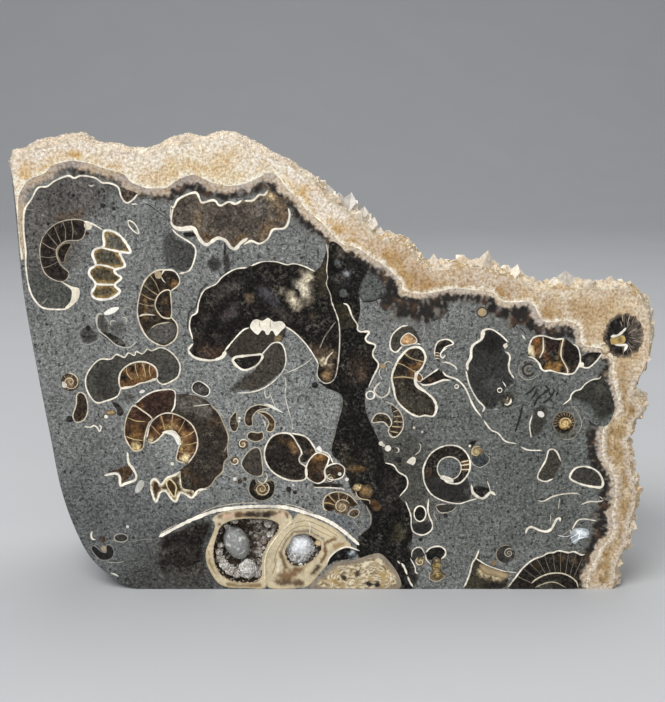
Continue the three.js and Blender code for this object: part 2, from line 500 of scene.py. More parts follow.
def crust_section():
    """The crystal crust where the saw cut it: honey calcite grown in fibres square to its base, and broken
    up by fine brown and white grains."""
    material, tree, shader, place, tint = start_material("crust_calcite_sawn")
    growth = add(tree, "Attribute", {}, "Vector", attribute_name="growth")
    stretched = add(tree, "Mapping", {"Vector": growth, "Scale": (1.0, 0.4, 1.0)})
    fibre = add(tree, "TexNoise", {"Vector": stretched, "Scale": 2.2, "Detail": 4, "Roughness": 0.75})
    fine = add(tree, "TexNoise", {"Vector": place, "Scale": per_mm(0.6), "Detail": 3, "Roughness": 0.85})
    colour = vary(tree, tint, fibre, 0.78, 1.2)
    colour = vary(tree, colour, fine, 0.68, 1.28)
    warm = add(tree, "VectorMath", {0: colour, 1: (0.7, 0.6, 0.46)}, operation="MULTIPLY")
    grains = specks(tree, place, 0.9, 0.45, 0.65)
    colour = add(tree, "Mix", {"Factor": grains, BELOW: colour, ABOVE: warm}, MIXED, data_type="RGBA")
    bump = add(tree, "Bump", {"Height": fine, "Strength": 0.35, "Distance": 0.3 * MM})
    plug(tree, shader, {"Base Color": colour, "Roughness": 0.45, "Specular IOR Level": 0.25, "Normal": bump})
    return material


def natural_crust():
    """Calcite crust as it grew: cream and honey grains under the larger crystals, rough and sugary."""
    material, tree, shader, place, tint = start_material("crust_calcite_natural")
    patch = add(tree, "TexNoise", {"Vector": place, "Scale": per_mm(6), "Detail": 3})
    grain = add(tree, "TexNoise", {"Vector": place, "Scale": per_mm(1.1), "Detail": 4, "Roughness": 0.8})
    colour = vary(tree, tint, patch, 0.8, 1.15)
    colour = vary(tree, colour, grain, 0.45, 1.45)
    bump = add(tree, "Bump", {"Height": grain, "Strength": 0.8, "Distance": 0.8 * MM})
    plug(tree, shader, {"Base Color": colour, "Roughness": 0.5, "Normal": bump})
    return material


def druse_crystal():
    """Dog-tooth calcite crystals as they grew: honey at the root, whitish at the tip, with bright facets."""
    material, tree, shader, place, tint = start_material("druse_calcite_crystal")
    grain = add(tree, "TexNoise", {"Vector": place, "Scale": per_mm(1.1), "Detail": 4, "Roughness": 0.75})
    colour = vary(tree, tint, grain, 0.6, 1.3)
    plug(tree, shader, {"Base Color": colour, "Roughness": 0.32, "Subsurface Weight": 0.15,
                        "Subsurface Radius": (1.0, 0.75, 0.5), "Subsurface Scale": 1.5 * MM})
    return material


def rounded_calcite():
    """A calcite crystal worn round and dull: grey, full of fine flaws, with white frosting in places."""
    material, tree, shader, place, tint = start_material("calcite_rounded")
    fine = add(tree, "TexNoise", {"Vector": place, "Scale": per_mm(0.9), "Detail": 4, "Roughness": 0.8})
    colour = vary(tree, tint, fine, 0.55, 1.4)
    frost = specks(tree, place, 1.4, 0.55, 0.7)
    colour = add(tree, "Mix", {"Factor": frost, BELOW: colour, ABOVE: linear("D8D6D0")}, MIXED,
        data_type="RGBA")
    plug(tree, shader, {"Base Color": colour, "Roughness": 0.5})
    return material


def clear_calcite():
    """Clear calcite crystals: see-through with a faint white veil, glassy faces."""
    material, tree, shader, place, tint = start_material("clear_calcite_crystal")
    veil = add(tree, "TexNoise", {"Vector": place, "Scale": per_mm(2), "Detail": 3})
    colour = vary(tree, tint, veil, 0.85, 1.15, ALL)
    share = add(tree, "MapRange", {"Value": veil, "To Min": 0.6, "To Max": 0.1})
    plug(tree, shader, {"Base Color": colour, "Transmission Weight": share, "Roughness": 0.08, "IOR": 1.66})
    return material


def rough_limestone():
    """Limestone as it broke: grey-brown, matt and grainy, for the back and the sides behind the polish."""
    material, tree, shader, place, tint = start_material("limestone_broken")
    patch = add(tree, "TexNoise", {"Vector": place, "Scale": per_mm(12), "Detail": 4})
    grain = add(tree, "TexNoise", {"Vector": place, "Scale": per_mm(1.1), "Detail": 4, "Roughness": 0.7})
    colour = vary(tree, tint, patch, 0.7, 1.3, ALL)
    colour = vary(tree, colour, grain, 0.6, 1.4, ALL)
    bump = add(tree, "Bump", {"Height": grain, "Strength": 0.7, "Distance": 0.8 * MM})
    plug(tree, shader, {"Base Color": colour, "Roughness": 0.8, "Normal": bump})
    return material


def painted_board():
    """A painted board, rolled on: pale grey and matt, for the floor under the block."""
    material, tree, shader, place, _ = start_material("board_painted")
    cloud = add(tree, "TexNoise", {"Vector": place, "Scale": per_mm(60), "Detail": 4})
    colour = add(tree, "Mix", {"Factor": cloud, BELOW: linear("B9BABC"), ABOVE: linear("BFC0C1")}, MIXED,
                 data_type="RGBA")
    plug(tree, shader, {"Base Color": colour, "Roughness": 0.85, "Specular IOR Level": 0.2})
    return material


STONE = polished_limestone()
CALCITE = chamber_calcite()
SHELL = shell_calcite()
SECTION = crust_section()
CRUST = natural_crust()
DRUSE = druse_crystal()
EGG = rounded_calcite()
CLEAR = clear_calcite()
ROUGH = rough_limestone()

# ---------------------------------------------------------------- the block

# The outline seen from the front. The left side is ground smooth, and bowed a little.
LEFT_SIDE = [
    (-64.3, 0), (-70.7, 3), (-78.5, 10.5), (-83.8, 22), (-87.2, 34), (-89.6, 50), (-92.5, 70),
    (-96.1, 98.5), (-97.4, 125), (-98.2, 138),
]
# The crust, over the top from left to right and down the right side.
CRUST_SIDE = [
    (-97, 141), (-94, 141.2), (-90, 143), (-86, 143.8), (-81.5, 145.4), (-77, 146), (-75, 145.8),
    (-70.5, 143), (-64.5, 142), (-57, 140.9), (-50, 143.2), (-46, 144.6), (-42, 145.3), (-39, 144.8),
    (-35, 146), (-31, 146), (-28, 145.2), (-22, 141.8), (-18, 140), (-14, 138.8), (-10, 135.5),
    (-7, 134), (-4, 131.5), (-2, 128.6), (1, 126), (5, 123.5), (9, 120.5), (11, 118), (13, 116),
    (16, 114.8), (20, 114.4), (22, 113.5), (24.5, 111.8), (25.3, 109.8), (27, 107.8), (30, 106),
    (36, 106), (42, 106.6), (46, 106.4), (50, 104.8), (54, 104), (57, 102.6), (60, 101.5),
    (64, 99.5), (69, 100), (75, 99.8), (80, 100.2), (85, 99.8), (90, 99.9),
    (93.6, 98.3), (96.4, 96.5), (98.5, 93), (99.6, 89), (99.9, 84.3), (99.8, 78), (98.8, 75.5), (98, 73),
    (96.7, 71), (95.5, 66.7), (95.7, 64.4), (97.4, 63.6), (98.5, 61.8), (98.5, 60), (97.1, 58.4), (96, 57),
    (95.6, 52.7), (94.3, 50.8), (95.4, 46.6), (95.9, 41.8), (96.8, 38), (98, 33.3), (98, 28.5), (96.7, 23.7),
    (96.2, 18.8), (94.5, 12.5), (92.4, 7.1), (92.8, 4.6), (92, 0),
]
# How the outline grows and shrinks behind the face:
# (distance behind the face, width left of the middle, width right of it, height).
SECTIONS = [
    (0, 0.991, 0.989, 0.9875), (0.5, 0.996, 0.9935, 0.9935), (1.2, 0.999, 0.9975, 0.997),
    (2.2, 1.001, 1.0, 0.999), (3.5, 1.003, 1.002, 0.9995), (5, 1.005, 1.003, 0.998),
    (14, 1.014, 1.003, 0.978), (24, 1.018, 1.0, 0.948), (36, 1.0, 0.98, 0.905),
    (45, 0.95, 0.925, 0.85), (50, 0.86, 0.85, 0.78), (51.5, 0.76, 0.75, 0.7),
]
RING_STEP = 1.7
BACK_EDGE_STEP = 0.3
BACK_RINGS = 32
BACK_MIDDLE = (-4, 52)
CRUST_RELIEF = 1.1

# Open hollows in the polished face: outline and depth.
POCKET_A = smooth([(-36, 21.4), (-37.8, 16.8), (-38.6, 13), (-38.2, 9.2), (-37.2, 6.4), (-35.4, 4.2),
    (-32.6, 2.7), (-28, 2.1), (-24.4, 2.6), (-23, 4.6), (-22.9, 8), (-22.5, 11.4), (-21.4, 14.2),
    (-19.6, 17), (-17.6, 19.8), (-17.2, 22), (-19.6, 23.6), (-25, 24.2), (-30, 24), (-33.8, 23)],
    closed=True, step=0.6)
POCKET_B = smooth([(-12.4, 18.2), (-14, 15.8), (-15.4, 12.6), (-13.8, 8.8), (-10.6, 7.8), (-7.4, 9.2),
    (-5.2, 11.2), (-3.6, 13.8), (-4.2, 16.2), (-7.6, 18.7), (-10, 19)], closed=True, step=0.6)
POCKETS = [(POCKET_A, 7.4), (POCKET_B, 4.6)]
POCKET_STEPS = ((0.12, 1.02), (0.3, 1.03), (0.5, 0.98), (0.7, 0.87), (0.86, 0.68), (0.96, 0.42), (1.0, 0.15))

STONE_BASE = "7C7D7A"
# Where the grey of the stone is darker or paler: (places, how far it reaches, colour). The two low on the
# left are painted shade, the stone darker towards the base where the light falls off.
STONE_TONES_AND_SHADE = [
    ([(-25, 55)], 48, "858784"),
    ([(60, 45)], 62, "686A66"),
    # Painted shade: darker towards the base on the left.
    ([(-78, 20), (-60, 8)], 42, "666866"),
    ([(-54, 0), (-46, 6)], 24, "4B4B48"),
    ([(22, 44), (22, 30)], 17, "4E4D47"),
]


def stone_tone_and_shade(places):
    """The grey of the polished stone at each place on the face, with painted shade towards the base on the
    left.
    """
    return paint(np.asarray(places)[:, :2], STONE_BASE, patches=STONE_TONES_AND_SHADE)


def section_at(behind):
    """The scales of the outline at a distance behind the face."""
    return [float(np.interp(behind, [s[0] for s in SECTIONS], [s[k] for s in SECTIONS])) for k in (1, 2, 3)]


def on_block(x, z, behind):
    """A place on the outline as it is at that distance behind the face."""
    left, right, height = section_at(behind)
    return np.array((x * (left if x < 0 else right), FACE + behind, z * height))


def relief(spot, size):
    """A bumpy amount from about -1 to 1 at a place, for bumps of this size."""
    return noise.fractal(Vector(spot) / size, 0.9, 2.1, 4)


def make_block():
    """The rock: its outline drawn as one face and extruded back ring by ring, then each ring shaped."""
    left = smooth(LEFT_SIDE, step=1.3)
    crust = smooth(CRUST_SIDE, step=1.1)
    base_steps = 110
    across = np.linspace(CRUST_SIDE[-1][0], LEFT_SIDE[0][0], base_steps)[1:-1]
    base = np.stack([across, np.zeros(base_steps - 2)], axis=1)
    outline = np.concatenate([left, crust, base])
    count = len(outline)
    grown = np.zeros(count)
    grown[len(left):len(left) + len(crust)] = 1
    grown[len(left) - 5:len(left)] = (0.1, 0.3, 0.5, 0.7, 0.9)
    on_base = np.arange(count) >= len(left) + len(crust) - 1
    on_base[0] = True
    middle = np.array(BACK_MIDDLE, float)
    between = np.concatenate([np.arange(6.5, 48, RING_STEP), np.arange(48.2, 51.3, BACK_EDGE_STEP)])
    depths = sorted(set([s[0] for s in SECTIONS] + [round(d, 2) for d in between]))
    rings = [(depth, 1.0) for depth in depths]
    rings += [(depths[-1], (1 - (k + 1) / (BACK_RINGS + 1)) ** 0.9) for k in range(BACK_RINGS)]

    bpy.ops.object.select_all(action="DESELECT")
    bpy.ops.mesh.primitive_circle_add(vertices=count, radius=0.05, fill_type="NGON",
        rotation=(math.pi / 2, 0, 0))
    block = bpy.context.object
    block.name = "rock_block"
    bpy.ops.object.transform_apply(location=True, rotation=True, scale=True)
    bpy.ops.object.mode_set(mode="EDIT")
    bpy.ops.mesh.select_mode(type="FACE")
    bpy.ops.mesh.select_all(action="SELECT")
    for _ in rings[1:]:
        bpy.ops.mesh.extrude_region_move(TRANSFORM_OT_translate={"value": (0, MM, 0)})
    bpy.ops.object.mode_set(mode="OBJECT")
    mesh = block.data

    turn = {}
    for vertex in mesh.vertices:
        angle = math.atan2(vertex.co.z, vertex.co.x) % (2 * math.pi)
        spot = int(round(angle / (2 * math.pi) * count)) % count
        turn[vertex.index] = ((-spot) % count, int(round(vertex.co.y / MM)))
    shaped = np.zeros((len(rings), count, 3))
    for k, (behind, share) in enumerate(rings):
        left_scale, right_scale, height = section_at(behind)
        x = outline[:, 0] * np.where(outline[:, 0] < 0, left_scale, right_scale)
        z = outline[:, 1] * height
        shaped[k, :, 0] = middle[0] + (x - middle[0]) * share if share < 1 else x
        shaped[k, :, 2] = middle[1] + (z - middle[1]) * share if share < 1 else z
        shaped[k, :, 1] = FACE + behind
    for index, (spot, ring) in turn.items():
        mesh.vertices[index].co = shaped[ring, spot] * MM
    mesh.update()

    # Relief: lumps on the crust, a broken surface behind, and nothing on the sawn and ground faces.
    normals = [v.normal.copy() for v in mesh.vertices]
    for index, (spot, ring) in turn.items():
        behind, share = rings[ring]
        place = shaped[ring, spot]
        if on_base[spot] and share == 1:
            continue
        back = float(smoothstep(40, 49, behind))
        rise = CRUST_RELIEF * grown[spot] * (relief(place, 9) * 0.9 + relief(place + 40, 3.5) * 0.5 - 0.55)
        rise *= float(smoothstep(-0.5, 3, behind))
        rise += back * (1.5 * relief(place + 90, 16) + 0.5 * relief(place + 20, 5) - 1.0)
        rise += (1 - back) * (1 - grown[spot]) * float(smoothstep(8, 16, behind)) * 0.35 * relief(place, 7)
        limit = np.array(place) + np.array(normals[index]) * rise
        limit[1] = min(max(limit[1], FACE), FACE + DEPTH)
        limit[2] = max(limit[2], 0)
        mesh.vertices[index].co = limit * MM
    mesh.update()
    return block, turn, grown


def dress_block(block, turn, grown):
    """The polished face filled in round its hollows, the hollows sunk, and every part given its finish, with
    painted shade on the hollows' walls.
    """
    mesh = block.data
    count = len(grown)
    body = bmesh.new()
    body.from_mesh(mesh)
    body.verts.ensure_lookup_table()
    front = [None] * count
    for index, (spot, ring) in turn.items():
        if ring == 0:
            front[spot] = body.verts[index]
    for face in [f for f in body.faces if len(f.verts) == count]:
        if face.calc_center_median().y < (FACE + 1) * MM:
            body.faces.remove(face)
        else:
            bmesh.ops.poke(body, faces=[face])
    edge = np.array([(v.co.x / MM, v.co.z / MM) for v in front])
    loops = [edge] + [outline for outline, _ in POCKETS]
    places, faces, _, source = triangles(loops, 1.6)
    corner = {}
    rims = [[None] * len(outline) for outline, _ in POCKETS]
    starts = np.cumsum([count] + [len(outline) for outline, _ in POCKETS])
    for i, place in enumerate(places):
        if 0 <= source[i] < count:
            corner[i] = front[source[i]]
            continue
        corner[i] = body.verts.new((place[0] * MM, FACE * MM, place[1] * MM))
        for k, (outline, _) in enumerate(POCKETS):
            if starts[k] <= source[i] < starts[k] + len(outline):
                rims[k][source[i] - starts[k]] = corner[i]
    for a, b, c in faces:
        body.faces.new((corner[a], corner[b], corner[c]))
    for rim, (outline, depth) in zip(rims, POCKETS):
        middle = outline.mean(0)
        previous = rim
        for down, share in POCKET_STEPS:
            ring = []
            for k, spot in enumerate(outline):
                bump = 0.5 * relief((spot[0], down * 20, spot[1]), 2.5)
                x, z = middle + (spot - middle) * share * (1 + 0.05 * bump)
                y = FACE + depth * down * (1 + 0.08 * bump) if down < 1 else FACE + depth
                ring.append(body.verts.new((x * MM, y * MM, z * MM)))
            for k in range(len(ring)):
                j = (k + 1) % len(ring)
                body.faces.new((previous[k], ring[k], ring[j], previous[j]))
            previous = ring
        body.faces.new(list(reversed(previous)))
    bmesh.ops.recalc_face_normals(body, faces=body.faces)
    body.to_mesh(mesh)
    body.free()
    mesh.update()
    for material in (STONE, CRUST, ROUGH):
        mesh.materials.append(material)

    tints = np.zeros((len(mesh.vertices), 3))
    spots = np.array([(v.co.x, v.co.y, v.co.z) for v in mesh.vertices]) / MM
    stone = stone_tone_and_shade(spots[:, [0, 2]])
    honey, cream, brown = pigment("C2A67C"), pigment("DCCDB2"), pigment("8C8071")
    back_grey, front_pink = pigment("77736B"), pigment("EADCCB")
    crustiness = np.zeros(len(spots))
    behind = spots[:, 1] - FACE
    known = np.array([turn[i][0] if i in turn else -1 for i in range(len(spots))])
    crustiness[known >= 0] = grown[known[known >= 0]]
    for i, place in enumerate(spots):
        patch = relief(place + 60, 24)
        back = float(smoothstep(42, 50, behind[i]))
        upper = float(smoothstep(-0.15, 0.1, patch + (place[2] - 84) / 60 + max(0, place[0] - 40) / 90))
        crustiness[i] = crustiness[i] * (1 - back) + back * upper
        browner = float(smoothstep(-0.3, 0.3, patch))
        rock = back_grey * (1 - browner) + brown * browner
        rock = stone[i] + (rock - stone[i]) * float(smoothstep(7, 14, behind[i]))
        shade = honey + (cream - honey) * float(smoothstep(-0.25, 0.35, relief(place + 10, 8)))
        pinkness = 0.55 * float(smoothstep(12, 2, behind[i]) * smoothstep(10, -20, place[0]))
        shade = shade + (front_pink - shade) * pinkness
        tints[i] = rock + (shade - rock) * crustiness[i]
    in_pocket = (known < 0) & (behind > 0.05) & (behind < 12)
    # Painted shade: the walls of the open hollows are tinted dark brown for the shade inside them.
    tints[in_pocket] = pigment("4E4032")
    paint_mesh(block, tints)
    for face in mesh.polygons:
        corners = list(face.vertices)
        deep = behind[corners].mean()
        if crustiness[corners].mean() > 0.5 or in_pocket[corners].any():
            face.material_index = 1
        elif deep > 9:
            face.material_index = 2
        else:
            face.material_index = 0
        face.use_smooth = True
    flat = [f for f in mesh.polygons if abs(f.normal.y) > 0.999 and behind[list(f.vertices)].max() < 0.01]
    for face in flat:
        face.material_index = 0
        face.use_smooth = False
    finish_piece(block)
    return edge


block, turn, grown = make_block()
face_edge = dress_block(block, turn, grown)

# ---------------------------------------------------------------- the fossils

CREAM = "F1E8D6"
THREAD = "D8D1C1"
FAINT = "9C9A90"
MUD = "474541"
BLACK = "1A1817"
BROWN = "352A1F"

mud_fills = Layer("sediment_fills", 0.01)
dark_fills = Layer("chamber_fills", 0.01)
pale_fills = Layer("pale_calcite_fills", 0.01)
shell_walls = Layer("shell_walls", 0.07)


def mud(points, base=MUD, **options):
    plate(mud_fills, points, base, **options)


def dark(points, base=BLACK, **options):
    plate(dark_fills, points, base, **options)


def pale(points, base=CREAM, **options):
    plate(pale_fills, points, base, **options)


def shell(points, width=0.55, colour=CREAM, **options):
    wall(shell_walls, points, width, colour, **options)


def ring(points, width=0.55, colour=CREAM, **options):
    wall(shell_walls, points, width, colour, closed=True, **options)


def shells(lines, width, colour=CREAM, **options):
    """Several walls alike."""
    for line in lines:
        shell(line, width, colour, **options)


def septa(lines, width=0.3, colour="C9B892", halo="5E4830"):
    """Walls between the chambers of a shell, with the calcite a little paler along them."""
    for line in lines:
        wall(dark_fills, line, width * 3.4, halo, taper=0.8)
        shell(line, width, colour, taper=0.7)


def dot(x, z, radius, base=CREAM, kind=pale, rz=None, turn=0.0):
    """A small round or oval fleck."""
    kind(oval(x, z, radius, rz, turn, step=0.3), base, curved=False)


def chamber(points, base=BLACK, width=0.5, kind=dark, colour=CREAM, **options):
    """A closed part of a shell: what fills it, and its wall all round. A point's third number is a width."""
    kind([p[:2] for p in points], base, **options)
    ring(points, width, colour)


def walled(points, base=BLACK, closing=(), width=0.5, kind=dark, colour=CREAM, **options):
    """A part of a shell that is open on one side: what fills it, up to the closing points, and its wall."""
    kind([p[:2] for p in points] + list(closing), base, **options)
    shell(points, width, colour)


def coil(x, z, radius, turns=2.0, start=0.0, way=1, base=BROWN, inner=None, walls=0, width=0.35,
        colour=CREAM):
    """A small ammonite cut across its coil: a disc, a spiral wall and the walls across it."""
    dark(oval(x, z, radius, step=0.4), base, curved=False,
         patches=[([(x, z)], radius * 0.75, inner)] if inner else ())
    points = []
    count = int(26 * turns)
    for k in range(count + 1):
        share = k / count
        reach = radius * (1 - share) ** 1.15 + 0.12 * radius * share
        angle = math.radians(start) + way * share * turns * 2 * math.pi
        points.append((x + reach * math.cos(angle), z + reach * math.sin(angle), width * (1 - 0.45 * share)))
    shell(points, width, colour)
    for k in range(walls):
        angle = math.radians(start) + way * (k + 0.5) / walls * 2 * math.pi
        shell([(x + radius * 0.95 * math.cos(angle), z + radius * 0.95 * math.sin(angle)),
               (x + radius * 0.66 * math.cos(angle + 0.12), z + radius * 0.66 * math.sin(angle + 0.12))],
              width * 0.6, colour)


# Top left: a mud-filled whorl, with a small coiled shell and a stack of toothed sections beside it.
def top_left():
    whorl = [(-82.5, 92.5), (-86, 92.4), (-90, 93), (-92, 95), (-93.5, 98), (-94.5, 106), (-94.3, 110),
        (-94.6, 118), (-93.9, 123.5), (-91.8, 126.5), (-89.5, 130), (-86.8, 130.4), (-84.5, 132),
        (-80, 133.6), (-78.5, 132.9), (-76.5, 133.6), (-72, 132.9), (-70, 131.5), (-68, 131.4),
        (-65.3, 130.2), (-64.3, 127.1), (-62.8, 125.4)]
    inner = [(-70, 118), (-74, 118), (-74, 112), (-76, 106), (-79.5, 102)]
    mud(whorl + [(-63, 122), (-66, 118)] + inner, "625F5B", patches=[([(-84, 126)], 9, "54514D"),
        ([(-90, 100), (-84, 97)], 8, "54554F"), ([(-84, 121), (-77, 122)], 2.6, "5C5146"),
        ([(-67, 121), (-66, 125)], 7, "6A6B67"), ([(-73, 112), (-68, 118)], 6, "70716E")],
        fade=[(-62.8, 124.6), (-64, 119)] + inner, fade_width=5)
    dark([(-64.6, 128.4), (-62.8, 125.4), (-60.6, 126.6), (-59.4, 128.1), (-61, 129), (-63, 129.4)], "3E322B",
         rim="5A4A40", spacing=0.4)
    shell(whorl + [(-60.6, 126.6), (-59.4, 128.1)], 0.6)
    pale([(-84, 101.2), (-80.5, 99.6), (-78.5, 99), (-78.3, 97), (-79, 95.3), (-82.5, 92.5), (-83, 92.8),
        (-81.2, 95), (-80.7, 97), (-80.8, 98.5)], "E9DFC9", spacing=0.5)
    shell([(-90.4, 93.8), (-89.3, 94.8), (-88.2, 96.3)], 0.3, FAINT)
    shell([(-74.2, 130.9), (-73.3, 130.5), (-72.6, 130.8)], 0.5, THREAD)
    for x, z, size in ((-70.1, 124.5, 0.8), (-66.7, 123.6, 0.6), (-87, 119, 0.5), (-79, 127.6, 0.6),
                       (-91, 112, 0.5), (-71, 128.6, 0.5)):
        dot(x, z, size, "2A2826", mud)

    chamber([(-76, 119.8), (-80, 120.3), (-85, 118.8), (-89, 114.5), (-90, 109), (-88.5, 103.5),
        (-84.5, 101.2), (-82.5, 101.5), (-81.3, 103.6), (-84, 106.8), (-84.8, 111), (-82, 113.6),
        (-77, 114.3), (-75.6, 117.5)], "231D1A", 0.3, colour="B4AA98", rim="3E332B", rim_width=0.9)
    septa([[(-79.9, 120.2), (-79.5, 117), (-79.9, 114.1)], [(-82.6, 119.8), (-81.8, 117), (-82, 113.8)],
           [(-85.3, 118.6), (-84.4, 116), (-83.4, 113.2)], [(-87.6, 116.4), (-86, 114.2), (-84.4, 112.3)],
           [(-89.3, 113.4), (-87, 111.8), (-84.9, 111)], [(-90, 109), (-87.4, 108.6), (-84.8, 109)],
           [(-89.5, 105.4), (-87.6, 105.8), (-84.4, 107.4)]], 0.15, "A0947F", halo="3A2F28")
    pale([(-76, 119), (-74.6, 119.2), (-73.5, 118.5), (-74, 117.4), (-75.4, 117.2)], "D8CDB8", spacing=0.4)
    dot(-75.2, 116, 0.6, "2E241B", dark)
    shell([(-76, 119.8, 0.8), (-73.5, 119, 0.6), (-71.8, 118, 0.4), (-70.2, 117, 0.3)])
    chamber([(-80.3, 112.8), (-82, 113), (-83.8, 111.8), (-84.6, 109.8), (-83.4, 107), (-82.7, 107.3),
        (-82.2, 109), (-81, 111.3)], "1C1713", 0.3, colour="8C7A60")

    stack = [(-70, 116.7), (-68.5, 117), (-66, 116), (-64, 114), (-62.2, 110.2), (-65.3, 110.2),
        (-64.8, 108.5), (-64, 106), (-67.3, 104.6), (-66.8, 103.6), (-65.2, 102.3), (-67.3, 100),
        (-65.8, 98.1), (-68, 96.2), (-70.5, 95.5), (-73.5, 95.9), (-74.6, 97.3), (-73.2, 100.3),
        (-75.1, 103.5), (-74.7, 105), (-73, 106.3), (-73.8, 109.5), (-73.2, 111), (-70.3, 112.2),
        (-70.3, 115.5)]
    dark(stack, "8E7A56", rim="B09A72", rim_width=0.8, spacing=0.45)
    for cell, base in (([(-69.5, 115), (-68.7, 116.3), (-65.3, 115.1), (-62.9, 110.9), (-68.6, 111.3),
            (-69.3, 113)], "55524A"), ([(-73.2, 109.4), (-72.4, 110.9), (-67.8, 110.8), (-64.6, 106.2),
            (-69.5, 106.2), (-72.2, 106.7)], "514C40"), ([(-74.6, 103.8), (-73.8, 105.3), (-69, 105.5),
            (-65.9, 102.4), (-68, 101), (-73.3, 101.6)], "4E4636"), ([(-73.8, 97.7), (-72.5, 99.3),
            (-68.3, 99.2), (-67, 97.9), (-69.5, 96.3), (-73.6, 96.7)], "544A38")):
        dark(cell, base, rim="8C7444", rim_width=0.9, spacing=0.4)
    ring(stack, 0.85, "F6F0E3")
    shells([[(-73.4, 111), (-71.4, 111.7), (-69, 111.2), (-65, 110.3)],
            [(-74.4, 105.4), (-72.4, 106.3), (-69.4, 105.9), (-67, 105.1)],
            [(-73.6, 100.4), (-71, 100.2), (-67.3, 100.2)]], 0.72, "F3ECDC")
    ring([(-62.4, 120), (-60.5, 119), (-59.4, 116.1), (-60.3, 116.3), (-62.4, 118.7)], 0.38)
    shell([(-61.2, 124.9), (-60.3, 125.1), (-59.4, 124.9)], 0.5)
    shell([(-57.4, 125.4), (-55.3, 124.3), (-50, 120)], 0.28, "33302D")


# The long toothed section under the crust, in the middle.
def crown_section():
    top = [(-49.3, 124.5), (-48.6, 124), (-47.2, 126.3), (-45, 127.6), (-42.8, 128.4), (-41.4, 128.4),
        (-40, 125.6), (-39.3, 125.5), (-36.6, 126.2), (-35.6, 125.9), (-34.8, 124.8), (-34, 124.6),
        (-31.6, 125.7), (-29.6, 125.1), (-27.6, 126.2)]
    top_right = [(-26.8, 126), (-24.2, 126.2), (-22.2, 127.9), (-20.8, 127.8), (-19.6, 129.3)]
    right = [(-13.5, 123.8), (-13.1, 122), (-13.9, 118.6), (-15, 117.6), (-18.2, 117.2), (-19.9, 114.4),
             (-22.4, 112.9), (-25, 113.7), (-27.3, 112.6)]
    under = [(-26, 114.6), (-27.9, 113.3), (-30, 111.3), (-31.2, 111.7), (-32.8, 113.8), (-35.2, 114.6),
        (-38.6, 112.6), (-39.8, 113.2), (-40.9, 114.6), (-41.6, 116, 1.2), (-42.6, 117.6, 1.6),
        (-44.4, 117.6, 1.8), (-46.4, 117.4, 1.6), (-48.2, 117.9, 1.2), (-49.2, 119, 0.7),
        (-49.2, 121.5, 0.6), (-48.6, 124, 0.6)]
    dark(top[1:] + top_right + [(-18, 128.4), (-15.4, 126.6)] + right + [p[:2] for p in under[1:-1]],
        "5A5148", spacing=0.7, rim="6E5A40", rim_width=0.9,
        patches=[([(-41.4, 118), (-41.6, 122)], 2.0, "776750"), ([(-40.6, 125.4)], 1.6, "6C5E4C"),
        ([(-45.5, 122), (-45, 124)], 4.5, "4E483F"), ([(-15, 121), (-17, 126)], 2.2, "6C5A46"),
        ([(-19, 119), (-21.5, 115.5)], 2.2, "6E5A44"), ([(-30, 113.5), (-27, 115)], 1.8, "6E5A40"),
        ([(-38.5, 115)], 2, "70553A"), ([(-34, 120), (-30, 121), (-26, 119)], 4.5, "48413A"),
        ([(-22, 124)], 3, "67605A"), ([(-19.5, 127.5)], 2, "C9B088")])
    shells([top, top_right, right], 0.75)
    shell(under, 0.7)
    shell([(-49.3, 124.5), (-49.6, 121.5), (-49.4, 119.5)], 0.3, THREAD)
    # Painted shadow: a thin dark line under the thick cream wall.
    dark([(-45.8, 116.1), (-41.8, 116.2), (-41.6, 115.4), (-45.4, 115.2)], "1C1A18", spacing=0.4)
    shell([(-33.1, 113.4, 0.5), (-33, 111.4, 0.7), (-33.3, 109.4, 0.4)], 0.6, "1D1A18")
    mud(oval(-36.4, 106.6, 2.5, 2.7), "3A3835", curved=False, rim="stone", rim_width=0.8)
    mud([(-33.6, 111), (-32, 110.4), (-31, 107), (-31.4, 103.4), (-33, 102.4), (-34.2, 108.6)], "3B3936",
        rim="stone", rim_width=0.9)
    edge = [(-49.1, 117.5), (-47.9, 116), (-42.6, 112.3), (-42, 110.7), (-43.1, 106.3), (-44.4, 104.4),
            (-47.4, 103.6)]
    mud(edge + [(-50, 104.6), (-52.4, 106.6), (-53, 111), (-51.6, 116)], "4C4B48", rim="stone", rim_width=1.6)
    mud([(-43.4, 112.4), (-42.4, 110.7), (-43.5, 106.4), (-45, 104.6), (-47.6, 105), (-48.4, 109),
        (-46.6, 113)], "484744", rim="4C4B48", rim_width=1.2)
    shell(edge, 0.5)


